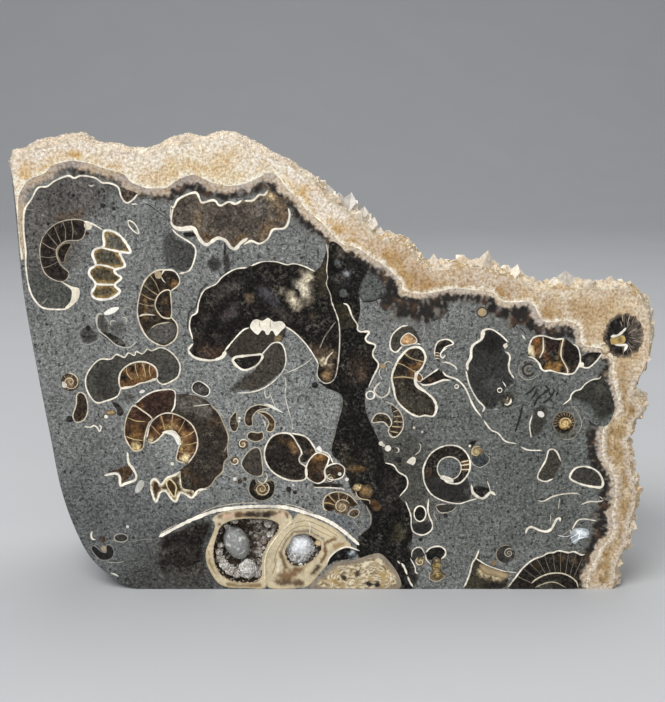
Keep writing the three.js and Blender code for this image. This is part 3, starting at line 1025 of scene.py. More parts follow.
# The curled whorl under the toothed stack.
def curled_whorl():
    outline = [(-50.3, 104.9), (-54.4, 104.5), (-57.7, 101.8), (-59.4, 98), (-60.6, 91.8), (-59.8, 87.4),
               (-57.4, 83.2), (-53.6, 81), (-51.8, 81), (-48.8, 83.4), (-48.3, 87.4), (-50.3, 90.2)]
    cavity = [(-53.2, 90.3), (-55, 93.6), (-53.8, 97), (-51.5, 98.5)]
    dark(outline + cavity + [(-50, 98.4), (-50.5, 101)], "2B231B", rim="4A3725", rim_width=0.9,
         patches=[([(-58, 93)], 2, "3B2C1C"), ([(-57.6, 96.6), (-58, 89.5)], 1, "5A4426")])
    mud([(-56.4, 86.6), (-58.2, 85), (-55.4, 82.2), (-51.8, 81.6), (-49.2, 83.9), (-48.9, 87), (-50.6, 88.6),
         (-54.6, 87.8)], "56534E", rim="46433E")
    shell(outline, 0.5, "DDD2BC")
    shell([(-56.6, 86.4), (-54.6, 87.6), (-50.6, 88.4)], 0.4, "B4A990")
    dark(oval(-50, 101.4, 2.7, 3.2, turn=18), "2A221A", curved=False,
         patches=[([(-48.6, 99.5), (-49, 101)], 1.8, "8A6A44")])
    shell([(-52.7, 103.3), (-51.9, 104.6), (-48.8, 104.4), (-47.2, 101.8), (-47.6, 100.1), (-50, 98.2)], 0.5)
    shell([(-52.8, 102.7), (-52.4, 101.6), (-51.5, 100.7)], 0.35, THREAD)
    pale([(-54.8, 104.2), (-53, 104.2), (-53, 102.2), (-54.4, 102.2)], "B7A182", spacing=0.4)
    chamber(cavity[::-1] + [(-51.5, 89.6), (-50.3, 89.8), (-50.1, 96.8), (-50.3, 98.3)], "241D17", 0.42,
            colour="D6C9AF", patches=[([(-52, 95)], 1.7, "62503A"), ([(-51.4, 91)], 1.2, "5A4429")])
    septa([[(-56.4, 103.2), (-54.8, 101), (-53.6, 98)], [(-58.6, 100.4), (-56.8, 98.8), (-54, 96.8)],
           [(-59.6, 97.6), (-57.4, 96.2), (-54.9, 95.2)], [(-60.4, 94.5), (-57.7, 93.7), (-55.1, 93.4)]],
          0.2, "AE9C7C", halo="4A3A28")
    shell([(-60, 90.3, 1.0), (-58.3, 90.8, 0.6), (-55, 90.6, 0.35)], 0.6, "D9CDB4")


# Left edge: faint whorls, half replaced by the stone, and small shells.
def left_column():
    pale([(-71, 91.2), (-68.6, 92.9), (-66.2, 93), (-68, 91.2), (-70.8, 90.7)], "F1EDE2", spacing=0.4)
    ghost = [(-71.4, 90.9), (-72.6, 91), (-73.3, 89.8), (-72.9, 86.2), (-70.4, 83.7), (-67, 80.9),
        (-63.4, 80.4), (-61, 82.4)]
    mud(ghost[:5] + [(-69.4, 87.4), (-70.2, 89.4)], "4C4A46", rim="stone", rim_width=0.8)
    # Painted shadow: a dark strip along the inside of the faint whorl's wall.
    dark([(-72, 84.6), (-67, 80.9), (-65, 80.5), (-64.6, 81.4), (-69.6, 85)], "2A2724")
    shell([(p[0], p[1], 0.8 if i < 3 else 0.42) for i, p in enumerate(ghost)], 0.45, "BDB8AB")
    shell([(-71, 90.4), (-70, 89.2), (-69.6, 88)], 0.3, FAINT)
    ring(oval(-63.5, 91.6, 1.5, step=0.4), 0.3, FAINT)
    shell(oval(-68.2, 88, 0.9, start=20, sweep=200, step=0.2), 0.4, "BEB9AA")
    shell(oval(-64.8, 89, 0.9, start=-60, sweep=210, step=0.2), 0.4, "BEB9AA")
    mud(oval(-67, 86.4, 2.8, 2.4), "5A5955", curved=False, rim="stone", rim_width=1)
    walled([(-76.8, 87), (-78.6, 86), (-78.4, 82.2), (-76.6, 81.2), (-73, 82.8), (-72.6, 84)], "45433F",
           [(-74.4, 86)], 0.3, mud, FAINT, rim="stone", rim_width=0.7)
    dot(-76, 86.5, 0.8, "201E1C", mud)
    mud(oval(-75, 77.5, 1.4, 1.0), "4A4844", curved=False, rim="stone")

    upper = [(-73, 76.4), (-69.2, 76.7), (-67.6, 78.1), (-65, 77.2), (-63.8, 78.6), (-61.9, 77.8),
        (-61.4, 79), (-59.4, 78.3), (-57.8, 79.8), (-56.6, 79.3), (-53.6, 80.3), (-50.2, 78.6),
        (-47.8, 74.8), (-48.4, 71.2), (-50, 69.8), (-53.2, 68.5), (-54.6, 69.2)]
    foot = [(-55.3, 70.3), (-58.6, 69.2), (-60.6, 68.8), (-62.4, 67.9), (-66.3, 67.2)]
    chamber(upper + foot + [(-67.6, 64.8), (-71.4, 63.1), (-74.4, 62.6), (-76.8, 65.6), (-77.6, 69.2),
        (-76.8, 72.2)], "4A4842", 0.52, mud, "E8DFCB", rim="423F39",
        patches=[([(-72, 66), (-72, 72)], 4, "3B3833"), ([(-58, 77.4)], 3, "45423C")])
    chamber([(-54.9, 71.8), (-55.6, 74), (-58.8, 75.7), (-63, 75.2), (-66.4, 72.4), (-67, 68.6)]
        + foot[::-1], "6E4E30", 0.5, colour="E8DFCB", patches=[([(-65.5, 70.5)], 2.1, "1B1613"),
        ([(-62.8, 73.7)], 1.5, "221A14"), ([(-60.6, 74.6)], 1.2, "221A14"),
        ([(-58.3, 74.2)], 1.2, "221A14"), ([(-56, 71.6)], 1.2, "241B14"),
        ([(-62, 70.6), (-58.6, 71.4)], 1.3, "80623C")])
    septa([[(-64.6, 73.9), (-64.4, 72), (-63, 70)], [(-61.8, 75.4), (-61.6, 73), (-60.8, 70.4)],
        [(-59.6, 75.6), (-59, 73.4), (-58.6, 70.8)], [(-57.2, 74.8), (-57.4, 72.8), (-57, 71)]], 0.25,
        "C9AF80")

    coil(-82.4, 69.2, 2.9, 1.8, 100, -1, "4A3B2B", "8A7354", 6, 0.35, colour="CFC3A8")
    pale([(-84.8, 67.6), (-84.9, 69.4), (-83.4, 68.4), (-83.8, 67.4)], "DED6C6", spacing=0.4)
    shell([(-83.6, 72), (-83.2, 74), (-82, 74.9), (-80.4, 75.1)], 0.25, FAINT)
    chamber([(-79.4, 65.9), (-80.4, 65.2), (-80.8, 62), (-82, 58), (-81, 56.2), (-78.6, 57), (-77.3, 59.6),
             (-77.4, 63.6), (-78.2, 65.4)], "33291F", 0.42, colour="D5CAB4", rim="4A3B2A")
    dot(-83, 57.2, 1.1, "2C2A27", mud)
    shell([(-78.6, 54.8), (-76.4, 54.6), (-75.6, 55.1), (-74.6, 54.6), (-73.8, 53.2), (-73.2, 54.6),
        (-73.8, 55.4)], 0.42)
    dark(oval(-70, 59.3, 1.7, 0.9), "A58D68", curved=False, rim="4C4033", rim_width=0.5)
    dot(-71.6, 58, 0.6)
    shell([(-74, 59.4), (-73.8, 58.2), (-73, 57.4)], 0.4, "2B2825")
    dark([(-69.4, 62.6), (-67.8, 62.4), (-65.9, 59.4), (-66.8, 58.2), (-68, 58.6), (-68, 60)], "2F2A26")
    mud(oval(-64.2, 64.2, 2, 2.2), "5C5A55", curved=False, rim="stone", rim_width=0.8)


# The large whorl cut through its chambers, left of the middle.
def chambered_whorl():
    walled([(-62, 62.4), (-59, 64.8), (-55.4, 66.4), (-49.8, 66.4), (-49.6, 63), (-50, 61), (-51, 59.4)],
        "3A2820", [(-55.4, 58), (-57, 57.4), (-60, 60)], rim="4A3026", rim_width=0.8,
        patches=[([(-60.4, 61.4)], 1.6, "684A2C"), ([(-50.6, 62)], 1.5, "5A4430")])
    pale([(-60.8, 65.9), (-59.8, 66.8), (-59, 66.4), (-59.8, 65.6)], "EFEAE0", spacing=0.4)
    chamber([(-62.8, 61.6), (-63.8, 60.4), (-65.4, 56.6), (-65.8, 51.6), (-64.2, 48), (-63.2, 46.8),
        (-61.6, 46.8), (-60.2, 47.8), (-59.6, 51), (-58, 56), (-57, 57.2), (-60, 60)], "3E2A1C", 0.45,
        colour="D9CCB0", patches=[([(-62, 59.5), (-61.6, 57.5)], 3, "4A3026"),
        ([(-62.8, 53.5), (-62, 51.5)], 2.8, "6E5030"), ([(-62.4, 48.4)], 2.4, "D6BC86"),
        ([(-64.6, 53)], 1.3, "33241A")])
    shell([(-64.6, 57.6), (-62, 56.6), (-59.2, 56.4)], 0.3, "B79C6C")
    shell([(-65.6, 51.6), (-63, 50.6), (-60.2, 50.2)], 0.35, "D8C08A")
    outer = [(-58.9, 51), (-57.6, 55.6), (-55.4, 58), (-52.4, 59.2), (-48.6, 58.4), (-44.4, 55.2),
        (-42.8, 50.6), (-43.4, 46.6), (-46, 42.6)]
    inner = [(-47, 42.6), (-49.6, 43.8), (-49.2, 46.6), (-48.3, 50.4), (-49, 52), (-52, 53.4), (-56, 50),
             (-57.4, 49.4), (-58.6, 50)]
    dark(outer + inner, "5E4228", rim="3A281A", rim_width=0.8, patches=[
        ([(-57, 54.5), (-55.4, 57)], 1.7, "2A1E16"), ([(-57.6, 51.6)], 1.2, "8C6A40"),
        ([(-52.6, 58.3), (-50.4, 58)], 1.6, "2A1E16"), ([(-47.4, 56.4), (-45.6, 54.6)], 1.8, "2C2018"),
        ([(-43.8, 51.4), (-43.8, 49.4)], 1.2, "33241A"), ([(-54.2, 54.4)], 1.4, "8A6238"),
        ([(-50.6, 55)], 1.5, "8C6840"), ([(-47, 52)], 1.8, "94724A"), ([(-46.6, 48)], 1.8, "8F7046"),
        ([(-47.6, 43.6), (-46.8, 44.4)], 2.1, "D8C498"), ([(-57.6, 50.2)], 1.3, "DAC69C"),
        ([(-53, 54.6), (-49.4, 54.4)], 1, "A08658"), ([(-48.2, 47.4), (-48, 50)], 0.9, "B09460")])
    septa([[(-57.5, 55.4), (-56.2, 53.8), (-54.6, 52)], [(-54.2, 58.4), (-53.6, 56), (-53, 53.6)],
           [(-50.4, 58.8), (-50.8, 56), (-50.8, 53.6)], [(-46.6, 57), (-47.8, 54.6), (-49, 52.6)],
           [(-43.6, 53.4), (-46, 51.8), (-48.2, 51)], [(-43, 49.6), (-46, 48.8), (-48.8, 48.6)],
           [(-43.6, 46.2), (-46, 46), (-49.1, 46.6)]], 0.22, "C8AC80", halo="6E5030")
    shell(outer, 0.45, "E5DAC3")
    shell(inner, 0.5, "E5DAC3")
    pale([(-54, 52.8), (-52, 53.6), (-50.2, 53.4), (-48.8, 52), (-48.1, 50.4), (-48.1, 48.8), (-49, 48.8),
          (-50.6, 51.6), (-52, 52.3)], "F3EFE4", spacing=0.4)
    mud([(-57.8, 49), (-54.4, 51.2), (-52.8, 52), (-50.8, 51.3), (-49.5, 47.6), (-50.4, 43.6), (-53, 42.6),
         (-56, 44), (-58.6, 46.4)], "8A8C88", rim="stone", rim_width=1)
    dot(-51, 42.5, 0.6)

    edge = [(-38.4, 62), (-36, 59.2), (-34.4, 55.6), (-33, 51.4), (-33.4, 47.6), (-33.2, 44.6), (-34.4, 43.2),
            (-35, 40), (-37.2, 37.8), (-39, 35.2), (-41.4, 34), (-45, 31.4), (-47.6, 32.8)]
    dark([(-49.8, 65), (-42, 64.4), (-39.6, 63.2)] + edge + [(-48.8, 32.8), (-50.2, 38.4), (-45.9, 42.8),
        (-43.2, 46.8), (-43, 53), (-46.4, 57.3), (-50.4, 59.4)], "342D26", spacing=0.8, rim="3D3228",
        rim_width=1, patches=[([(-48, 62.5), (-42, 62.5), (-40, 60)], 4.4, "5E5850"),
        ([(-38.5, 50), (-39, 44)], 3.4, "302A24"), ([(-37.5, 56.5)], 2.4, "48392A"),
        ([(-44, 37)], 3, "3A2E22"), ([(-46.8, 39.5)], 1.5, "6A4C2A")])
    shell(edge, 0.42, "B9AC92")
    shell([(-44, 61.4), (-41, 61.8), (-38.6, 62)], 0.3, THREAD)


# The toothed living-chamber edge and the loose flakes below it.
def toothed_edge():
    upper = [(-58.2, 35.2), (-57.8, 36.8), (-56.6, 37.5), (-54.8, 35.6), (-52.8, 37.8), (-50.2, 38.8),
        (-48.6, 40)]
    lower = [(-58.2, 34.6), (-56.6, 29.8), (-55, 33), (-53.6, 33.4), (-51.2, 30.4), (-50.2, 29.9),
        (-48.8, 32.6), (-47.6, 32.6), (-45, 31.2), (-43, 33.6), (-40, 34.1)]
    dark(upper + [(-48.4, 37), (-47.8, 34.4), (-44.4, 33.4)] + lower[-3::-1], "4A3A26", rim="E0D2B0",
        rim_width=1.1, spacing=0.4, patches=[([(-56.4, 34.8)], 0.8, "33261A"),
        ([(-51, 36), (-48.6, 37)], 1.6, "3B342C")])
    shells([upper, lower], 0.75)
    dark(oval(-56.4, 34.6, 0.8, 1.9), "3B2A1B", curved=False, spacing=0.4)
    chamber([(-53, 36.6), (-52, 37.4), (-50, 35), (-50.2, 33), (-50.6, 31.4), (-52.8, 34.8)], "3A2B1C", 0.5,
            colour="DCCB9E", rim="6E5832", rim_width=0.6)
    dark([(-71.8, 39.6), (-68, 40.9), (-65, 41.8), (-63.8, 40), (-64.6, 38.2), (-67.2, 36.2), (-68, 39.6)],
        "4C3926", spacing=0.5)
    shell([(-72.8, 38.6), (-69, 39.2), (-68, 38.4), (-67.7, 35.2), (-66.4, 35.8), (-63, 37.2),
        (-62.6, 38.4, 0.9), (-63.8, 41.2, 1), (-64.8, 42.6, 1), (-65.2, 46.4, 0.7)], 0.6)
    pale([(-63, 32.8), (-63, 34.4), (-61.4, 37), (-60.4, 36.9), (-60.2, 35.4), (-62.2, 32.8)], "C6C3BA",
        spacing=0.4)
    shell([(-76.4, 46), (-75.6, 45.9), (-75, 45.6)], 0.35, FAINT)

    ring(oval(-68.2, 17.6, 2.2, 1.4, step=0.4), 0.3, "BDB7A8")
    mud(oval(-68.2, 17.6, 2.1, 1.3, step=0.4), "403E3B", curved=False)
    dot(-66, 21.4, 0.5, "E9E4D8")
    shell([(-77.4, 20), (-77.8, 18.4), (-77.4, 17.2), (-76.4, 17)], 0.65)
    dot(-74.2, 17, 1.0, "43352A", dark)
    dot(-73.8, 13.9, 1.0, "A8967A")
    chamber([(-78, 14.2), (-77.2, 15), (-74.4, 12.8), (-73.2, 12.7), (-73, 15.2), (-71.6, 15), (-70.6, 13),
             (-71.4, 10.8), (-73.2, 10), (-75.4, 10.4)], "242220", 0.3, mud, "8E8B82")
    shell([(-73, 9.3), (-69, 9.2), (-67.4, 9.7)], 0.3, "A9A498")
    shell([(-66, 16), (-62, 16.9), (-57, 17.2)], 0.25, "8A8880")
    shell([(-72, 5.6), (-70.6, 5.1), (-69.4, 4.4)], 0.8, "E9E5DA")


# The great arched whorl, full of black calcite, over the toothed opening of an inner whorl.
def great_arch():
    foot = [(-33.5, 79.2, 1.3), (-34.2, 77.6, 1.2), (-36, 76.6, 0.9), (-38.4, 76.2), (-42.8, 77),
        (-44.4, 78.2), (-45, 79.6), (-43.5, 81.6)]
    left = [(-43.6, 83), (-44.5, 87), (-43.8, 90.2), (-42.2, 91.4), (-41.4, 95), (-39.6, 98.5), (-36, 100.4),
            (-34, 102.6), (-30, 105), (-26.3, 105.5)]
    top = [(-25.2, 106), (-21.6, 107.3), (-17.4, 107.3), (-14, 106.4), (-12, 106.7), (-9, 106), (-5.5, 104.3)]
    thread = [(-2, 113), (-1.4, 110), (-1.8, 104.5), (-1.5, 102.5), (-1.9, 100.5), (-0.6, 97), (-0.3, 95),
        (1.9, 88.5), (2.2, 81), (1.2, 72), (0.4, 70), (-1, 69), (-2.5, 68.9), (-4.7, 71), (-4.8, 72.4),
        (-4.4, 75)]
    lower = [(-5.4, 77), (-8, 81), (-11.6, 84.9), (-14.6, 87)]
    upper_left = [(-26, 86.6), (-27.6, 86), (-30.6, 83), (-33.7, 79.2)]
    outline = [p[:2] for p in foot] + left + top + [(-3.6, 102.6)] + thread[3:] + lower
    dark(outline + [(-17, 87.2), (-20, 87.6), (-23, 87.4)] + upper_left, "151210", spacing=0.8,
        rim="2A2420", rim_width=0.8, patches=[([(-21, 98), (-18, 95)], 2.6, "434144"),
        ([(-30, 93), (-33, 90)], 2.4, "3E3836"), ([(-28, 101)], 1.6, "3C3A3A"),
        ([(-13.5, 90), (-17, 92)], 1.8, "38332E"), ([(-39, 90)], 2, "322C28"),
        ([(-8, 96), (-8, 103)], 3.4, "7A7060"), ([(-9.8, 100), (-8.6, 98)], 2.2, "E2D6BC"),
        ([(-7.4, 102.6)], 2.2, "D2C5AA"), ([(-13, 96.6), (-11, 93.6)], 2.4, "A79B84"),
        ([(-11.4, 95)], 1.4, "DCD0B6"), ([(-15.5, 98)], 1.8, "756C5E"), ([(-12, 101)], 1.8, "5C554C"),
        ([(-26, 96)], 2, "6A5A48"), ([(-36, 97), (-30, 100)], 3, "3A3633"), ([(-6, 90)], 2, "3A332B"),
        ([(-20, 101)], 3, "262220"), ([(-3, 98), (-3.2, 104)], 1.9, "3A3328"),
        ([(-40, 79), (-36, 78.6)], 3, "46352A"), ([(-42, 84)], 2, "2C2520"),
        ([(-5, 79), (-1, 76), (-2, 71)], 3.6, "4C3E30"), ([(0, 79)], 1.7, "5C4C3A"),
        ([(-3.2, 75.6)], 1.6, "CFBE9E"), ([(-2.2, 71.4)], 2, "8E7450"), ([(-0.6, 75)], 1, "9A8C74")])
    shell(foot, 0.62)
    shells([left, top], 0.45)
    shell(thread, 0.36, "D2C9B6", ragged=0.5)
    shell([(-4, 80), (-2.6, 83.4), (-0.6, 86.4), (1, 88.6)], 0.4, "8E867A", ragged=0.5)
    shell([(-2.4, 74.6), (-1.6, 77), (0.2, 79)], 0.6, "D9CDB8", ragged=0.5)
    shell([(-4.4, 75, 0.5)] + lower, 0.6)
    shell(upper_left, 0.55)
    dark([(-5.3, 104.2), (-3.6, 106), (-1.8, 110.4), (-1.8, 104.5), (-2, 99.4), (-3.2, 99), (-4.4, 101.4)],
        "3C3528", rim="2A251F")
    # Painted shadow: a dark line just outside the arch's left wall.
    shell([(-38.2, 100.6), (-40.6, 98.6), (-42.4, 93.4), (-44.4, 91.6), (-45.2, 86)], 0.5, "3A3733")
    mud([(-33.3, 80), (-30.6, 83), (-27.6, 86), (-25.6, 86.8), (-20, 86), (-15, 86.8), (-14.6, 85),
        (-16, 82.2), (-18.8, 81.6), (-22.2, 78.1), (-26, 77.9), (-31.6, 77), (-32.8, 78.4)], "3E372F",
        rim="4A443B", patches=[([(-17, 83)], 1.8, "A08A66"), ([(-28, 81)], 3, "3A342D")])
    pale([(-25.6, 87.4), (-24.8, 88.8), (-23.6, 89.3), (-21.8, 88.8), (-20, 89.7), (-18.2, 88.5), (-16, 88.7),
          (-14.6, 87.2), (-16, 85.6), (-17.6, 84), (-18.6, 85.6), (-19.2, 85.6), (-19.9, 84.4), (-20.6, 84.4),
          (-21.2, 85.6), (-22, 85.8), (-23.2, 84.4), (-24, 84.8), (-25.6, 86.6)], "F3EBDA", spacing=0.45)
    shells([[(-22.9, 88.6), (-22.6, 87.4), (-22.5, 86.4)], [(-19.2, 89), (-19.4, 87.6), (-19.4, 86.2)]], 0.28,
           "B39C74")
    chamber([(-31.2, 76.2, 1.1), (-30.4, 77.2, 1), (-28.6, 77.5), (-24, 78, 0.8), (-22.2, 78.1, 0.8),
        (-21.9, 77.4), (-23.6, 74.8), (-27.2, 73.1), (-29, 73.6)], "1B1816", 0.6, rim="33291F")
    lobe = [(-22.2, 78), (-18.8, 81.6), (-17.4, 82), (-16, 81.6), (-14.8, 79), (-14.7, 75), (-16.4, 71.6),
            (-21.6, 67.3), (-25.6, 66), (-30, 65.7)]
    mud(lobe + [(-33, 66), (-32, 68.6), (-30, 70), (-27.5, 72.6), (-25, 73.2), (-21.6, 76.4)], "443F38",
        rim="stone", rim_width=1.5)
    mud([(-21.6, 77.6), (-18.8, 81.2), (-17.4, 81.6), (-16, 81.2), (-14.8, 77), (-15.6, 73.4),
        (-18.4, 70.4), (-22, 67.8), (-26, 66.6), (-28, 67.4), (-27, 70), (-24.4, 73.2)], "453F37",
        rim="443F38", rim_width=0.8)
    shell(lobe, 0.42)
    chamber([(-44.2, 67.6), (-43.4, 69), (-41.6, 69.4), (-38.7, 67), (-39, 65.2), (-40.4, 64.6),
        (-43.8, 66.2)], "4E4A45", 0.34, mud, "E4DDCE", rim="1F1D1B", rim_width=1.1,
        patches=[([(-41.4, 67)], 1.6, "6A645C")])
    dot(-5.5, 68.2, 1.0, "2A2826", mud)
    shells([[(-6.4, 77.2), (-7.4, 76), (-11.6, 73.4), (-15.4, 71.9)],
            [(-14.9, 71), (-14.6, 68), (-14.9, 65), (-12.7, 55), (-12.8, 53.4)],
            [(-21.2, 67), (-21.3, 65.5), (-20.8, 64.2), (-19.8, 64.5), (-19.7, 66)],
            [(-19.6, 65.3), (-18.6, 62.5), (-17.8, 60.8)]], 0.3, "D8D2C4")
    pale([(-21.6, 61.9), (-20, 62.1), (-15.5, 59.2), (-17.2, 59.8), (-20.2, 61.2)], "F3EFE4", spacing=0.4)


# Small coils between the large whorls.
def small_coils():
    chamber([(-25.4, 55.2), (-26.6, 54.9), (-27.7, 56), (-27, 60), (-23.4, 61.9), (-19.8, 61), (-23.4, 60.1),
             (-25.3, 58)], "2D241C", 0.35, colour="CBBFA6", patches=[([(-26.4, 57)], 1.1, "55402A")])
    chamber([(-23.6, 59.4), (-21, 59.4), (-18.3, 56.6), (-18.8, 53.5), (-20, 53), (-20.9, 53.6), (-20.1, 56),
             (-21.8, 58.3)], "3C2E20", 0.35, colour="CFC2A6", patches=[([(-19.4, 55.4)], 1.2, "7A6040")])
    shell([(-22.2, 57.2), (-21.4, 56), (-21.3, 54.6)], 0.4)
    chamber([(-30.4, 59.6), (-32.5, 57), (-32, 53.6), (-30.8, 53.1), (-29.7, 55.4), (-30.2, 57)], "3D352C",
        0.32, colour="BDB29C")
    dot(-29.4, 57.5, 0.45, "EDE7DA")
    dot(-29.5, 56.5, 0.4, "EDE7DA")
    chamber([(-26.9, 52.2), (-26, 53), (-23.4, 52.7), (-22.2, 53), (-22, 50.9), (-24.6, 49.8), (-27, 51.1)],
            "3A2E22", 0.35, colour="CDC1A8")
    coil(-28.4, 49, 1.7, 1.4, 30, 1, "5A4731", "A98C5C", 0, 0.35)
    shells([[(-33.3, 43.5), (-33, 42), (-31.2, 39.4), (-28, 38.7)],
        [(-34.4, 46.4), (-33.6, 48.2), (-32, 49.4)]], 0.32, "A9A294")
    chamber([(-29, 42.6), (-27, 39.4), (-23.8, 38.3), (-22.4, 39), (-22.3, 42), (-23.4, 47.6), (-25.4, 47.6)],
            "464038", 0.38, mud, "BCB29C", rim="3B352D")
    coil(-31, 43.5, 1.4, 1.3, 200, 1, "5C4A35", "9C8259", 0, 0.3)
    shell([(-24, 37.6), (-23.4, 36.5), (-22, 36), (-20.8, 38.3), (-21.4, 39.5)], 0.4, "D8CDB6")
    chamber([(-24.6, 37.4), (-25.8, 37.2), (-26.7, 33), (-23.4, 30.2), (-19.4, 31.6), (-18.4, 35.6),
        (-19.2, 37), (-20.4, 37), (-22.6, 35.6), (-24.4, 36.4)], "1F1B18", 0.32, colour="9A8F7C")
    coil(-22.6, 34.1, 2.5, 2, 60, -1, "4A3B2A", "8F7650", 7, 0.35, colour="CFC0A0")
    for x, z, size, base, kind in ((-31.2, 37.4, 0.6, "E4DDCC", pale), (-29.6, 36.6, 0.8, "3A3026", dark),
            (-28, 37.4, 0.7, "43362A", dark), (-14, 34, 0.9, "2E2A26", mud), (-12, 33, 0.7, "2E2A26", mud),
            (-12.6, 35.5, 0.45, "E9E4D8", pale)):
        dot(x, z, size, base, kind)
    shell([(-13, 34), (-13.1, 31.4), (-13, 29)], 0.28, FAINT)


# The row of oval chambers under the arch.
def oval_chambers():
    chamber([(-13.6, 52.4), (-18.4, 52), (-21, 48.8), (-21.6, 44.6), (-19.8, 40.6), (-16, 37.8),
        (-12, 36.8), (-8.6, 37.6), (-8.5, 41.4), (-10.4, 43), (-10.6, 44.4), (-9.8, 46), (-11.2, 49.2)],
        "241E19", 0.55, rim="40301F", rim_width=0.8, patches=[([(-12, 47), (-12.6, 49)], 2, "6E5638"),
        ([(-17, 44)], 3, "1B1714"), ([(-16, 50)], 1.6, "4A3824")])
    dark([(-13, 52.3), (-10.6, 48.8), (-9.9, 46.6), (-10.3, 44.2), (-9.6, 43), (-8.4, 43.2), (-5.6, 46.4),
        (-7, 49.6), (-10.6, 52)], "1C1916", rim="3A2C1F", patches=[([(-7, 46.4)], 1.4, "5C4226")])
    shell([(-13, 52.6), (-8.4, 51.4), (-5.8, 48), (-5.1, 46.6), (-4.4, 46.3)], 0.55)
    pale([(-5.2, 47.4), (-4.2, 48.4), (-3.2, 46.6), (-4.4, 46.8)], "F6F2E9", spacing=0.4)
    chamber([(-5, 46), (-7.6, 43.4), (-8.6, 39.4), (-7.8, 37.6), (-4.6, 36), (-2.4, 37.4), (-2.6, 40),
        (-1.4, 43), (-1.2, 44.6), (-3, 45.8)], "3D2C1C", 0.5,
        patches=[([(-5.4, 44.6), (-3.4, 45)], 1.9, "7E5C36"), ([(-5.4, 38.4)], 2.2, "1E1813"),
        ([(-4.4, 42)], 1.5, "5C452C")])
    shell([(-5, 46.2), (-3.2, 46.5), (-1.4, 45.8), (0.2, 42.8)], 0.5)
    dark([(-1.2, 44.6), (-0.3, 43.8), (0, 42.6), (-1.4, 41.8), (-2.2, 41.4)], "2A2019", spacing=0.4)
    chamber([(-2.4, 40.6), (-1.4, 41.8), (1.6, 42.6), (3.8, 41), (3.2, 38.2), (-0.4, 37.2), (-2, 38.4)],
        "2E241B", 0.48, patches=[([(1.8, 41)], 1.1, "5A4128")])
    dot(2.3, 39.1, 0.6, "F1ECE0")
    coil(-0.6, 37.6, 1.5, 1.4, 90, 1, "4E3E2B", "97804F", 0, 0.32)
    shell([(-6, 34.6), (0, 34.5), (3.6, 34), (3.9, 33.6)], 0.5)
    dark([(-6, 35.9), (0, 36), (3, 35.6), (3.2, 35), (-6, 35.1)], "24201C", spacing=0.4)

    walled([(-1.6, 26.7), (-2.8, 27.6), (-2.5, 31.2), (0.8, 33.1), (5.2, 32.1), (8.2, 29)], "30261D",
           [(6, 28.2), (3.6, 30.1), (1.8, 30), (0.4, 27)], 0.42, colour="CFC2A8", rim="4E3B28",
           patches=[([(-1, 29.6)], 1, "6A5032"), ([(4, 31.4)], 1, "5E4529")])
    septa([[(-2.8, 29.4), (-1.2, 29.4), (0.5, 28.8)], [(-1.4, 32.4), (-0.4, 31), (1, 29.6)],
           [(2, 33), (2, 31.4), (2.3, 30.1)], [(5, 32.2), (4.6, 31), (4.4, 29.9)]], 0.25, "BFA77C")
    coil(3, 28.2, 2.6, 1.7, 20, 1, "5D4A35", "A48D68", 0, 0.38, colour="DCD0B6")
    chamber([(5.2, 25.4), (5.8, 26.8), (7.2, 27.4), (8.5, 26.8), (8.3, 25.4), (7, 24.6)], "44362A", 0.35,
            colour="BFB199")
    mud([(-1, 26.4), (5, 25), (8, 24), (8.4, 21), (7, 19), (-1, 23.4), (-2.4, 25)], "6E7173", rim="stone",
        rim_width=1.2)
    shells([[(12.2, 22), (12.3, 24.4), (10.8, 28.6)], [(8.6, 20.8), (6.8, 23.6), (7.6, 25)],
            [(5.2, 33.6), (7.6, 31), (9.2, 30.5)]], 0.32, "A79F8E")
    dark([(6.2, 34), (7, 35.6), (8.6, 36), (9.8, 35), (9.4, 33.8), (7.8, 33.4)], "B8A47A", rim="5E4C30",
        spacing=0.4)
    dark([(8.5, 32.2), (9.4, 35), (11.4, 35.6), (12.8, 34.2), (12.6, 31.8), (10.6, 30.8)], "6E5A40",
        rim="4E3C28", patches=[([(10.4, 33.4)], 1.2, "A98550")])
    shell([(7.4, 33.4), (7.8, 32), (9, 30.9), (11.8, 30.2), (12, 29)], 0.35, "D2C09A")
    dark([(11.6, 30.2), (13.4, 30.8), (15.6, 28.8), (15.2, 26.8), (13.2, 26.6)], "5A4028", rim="2A241E")
    dark([(4, 41.2), (6, 42.2), (9, 42), (11, 40.8), (9.6, 39.6), (6.4, 39.4)], "5F482C", rim="2B251F")
    dot(4.6, 37.3, 0.6, "EFE9DC")


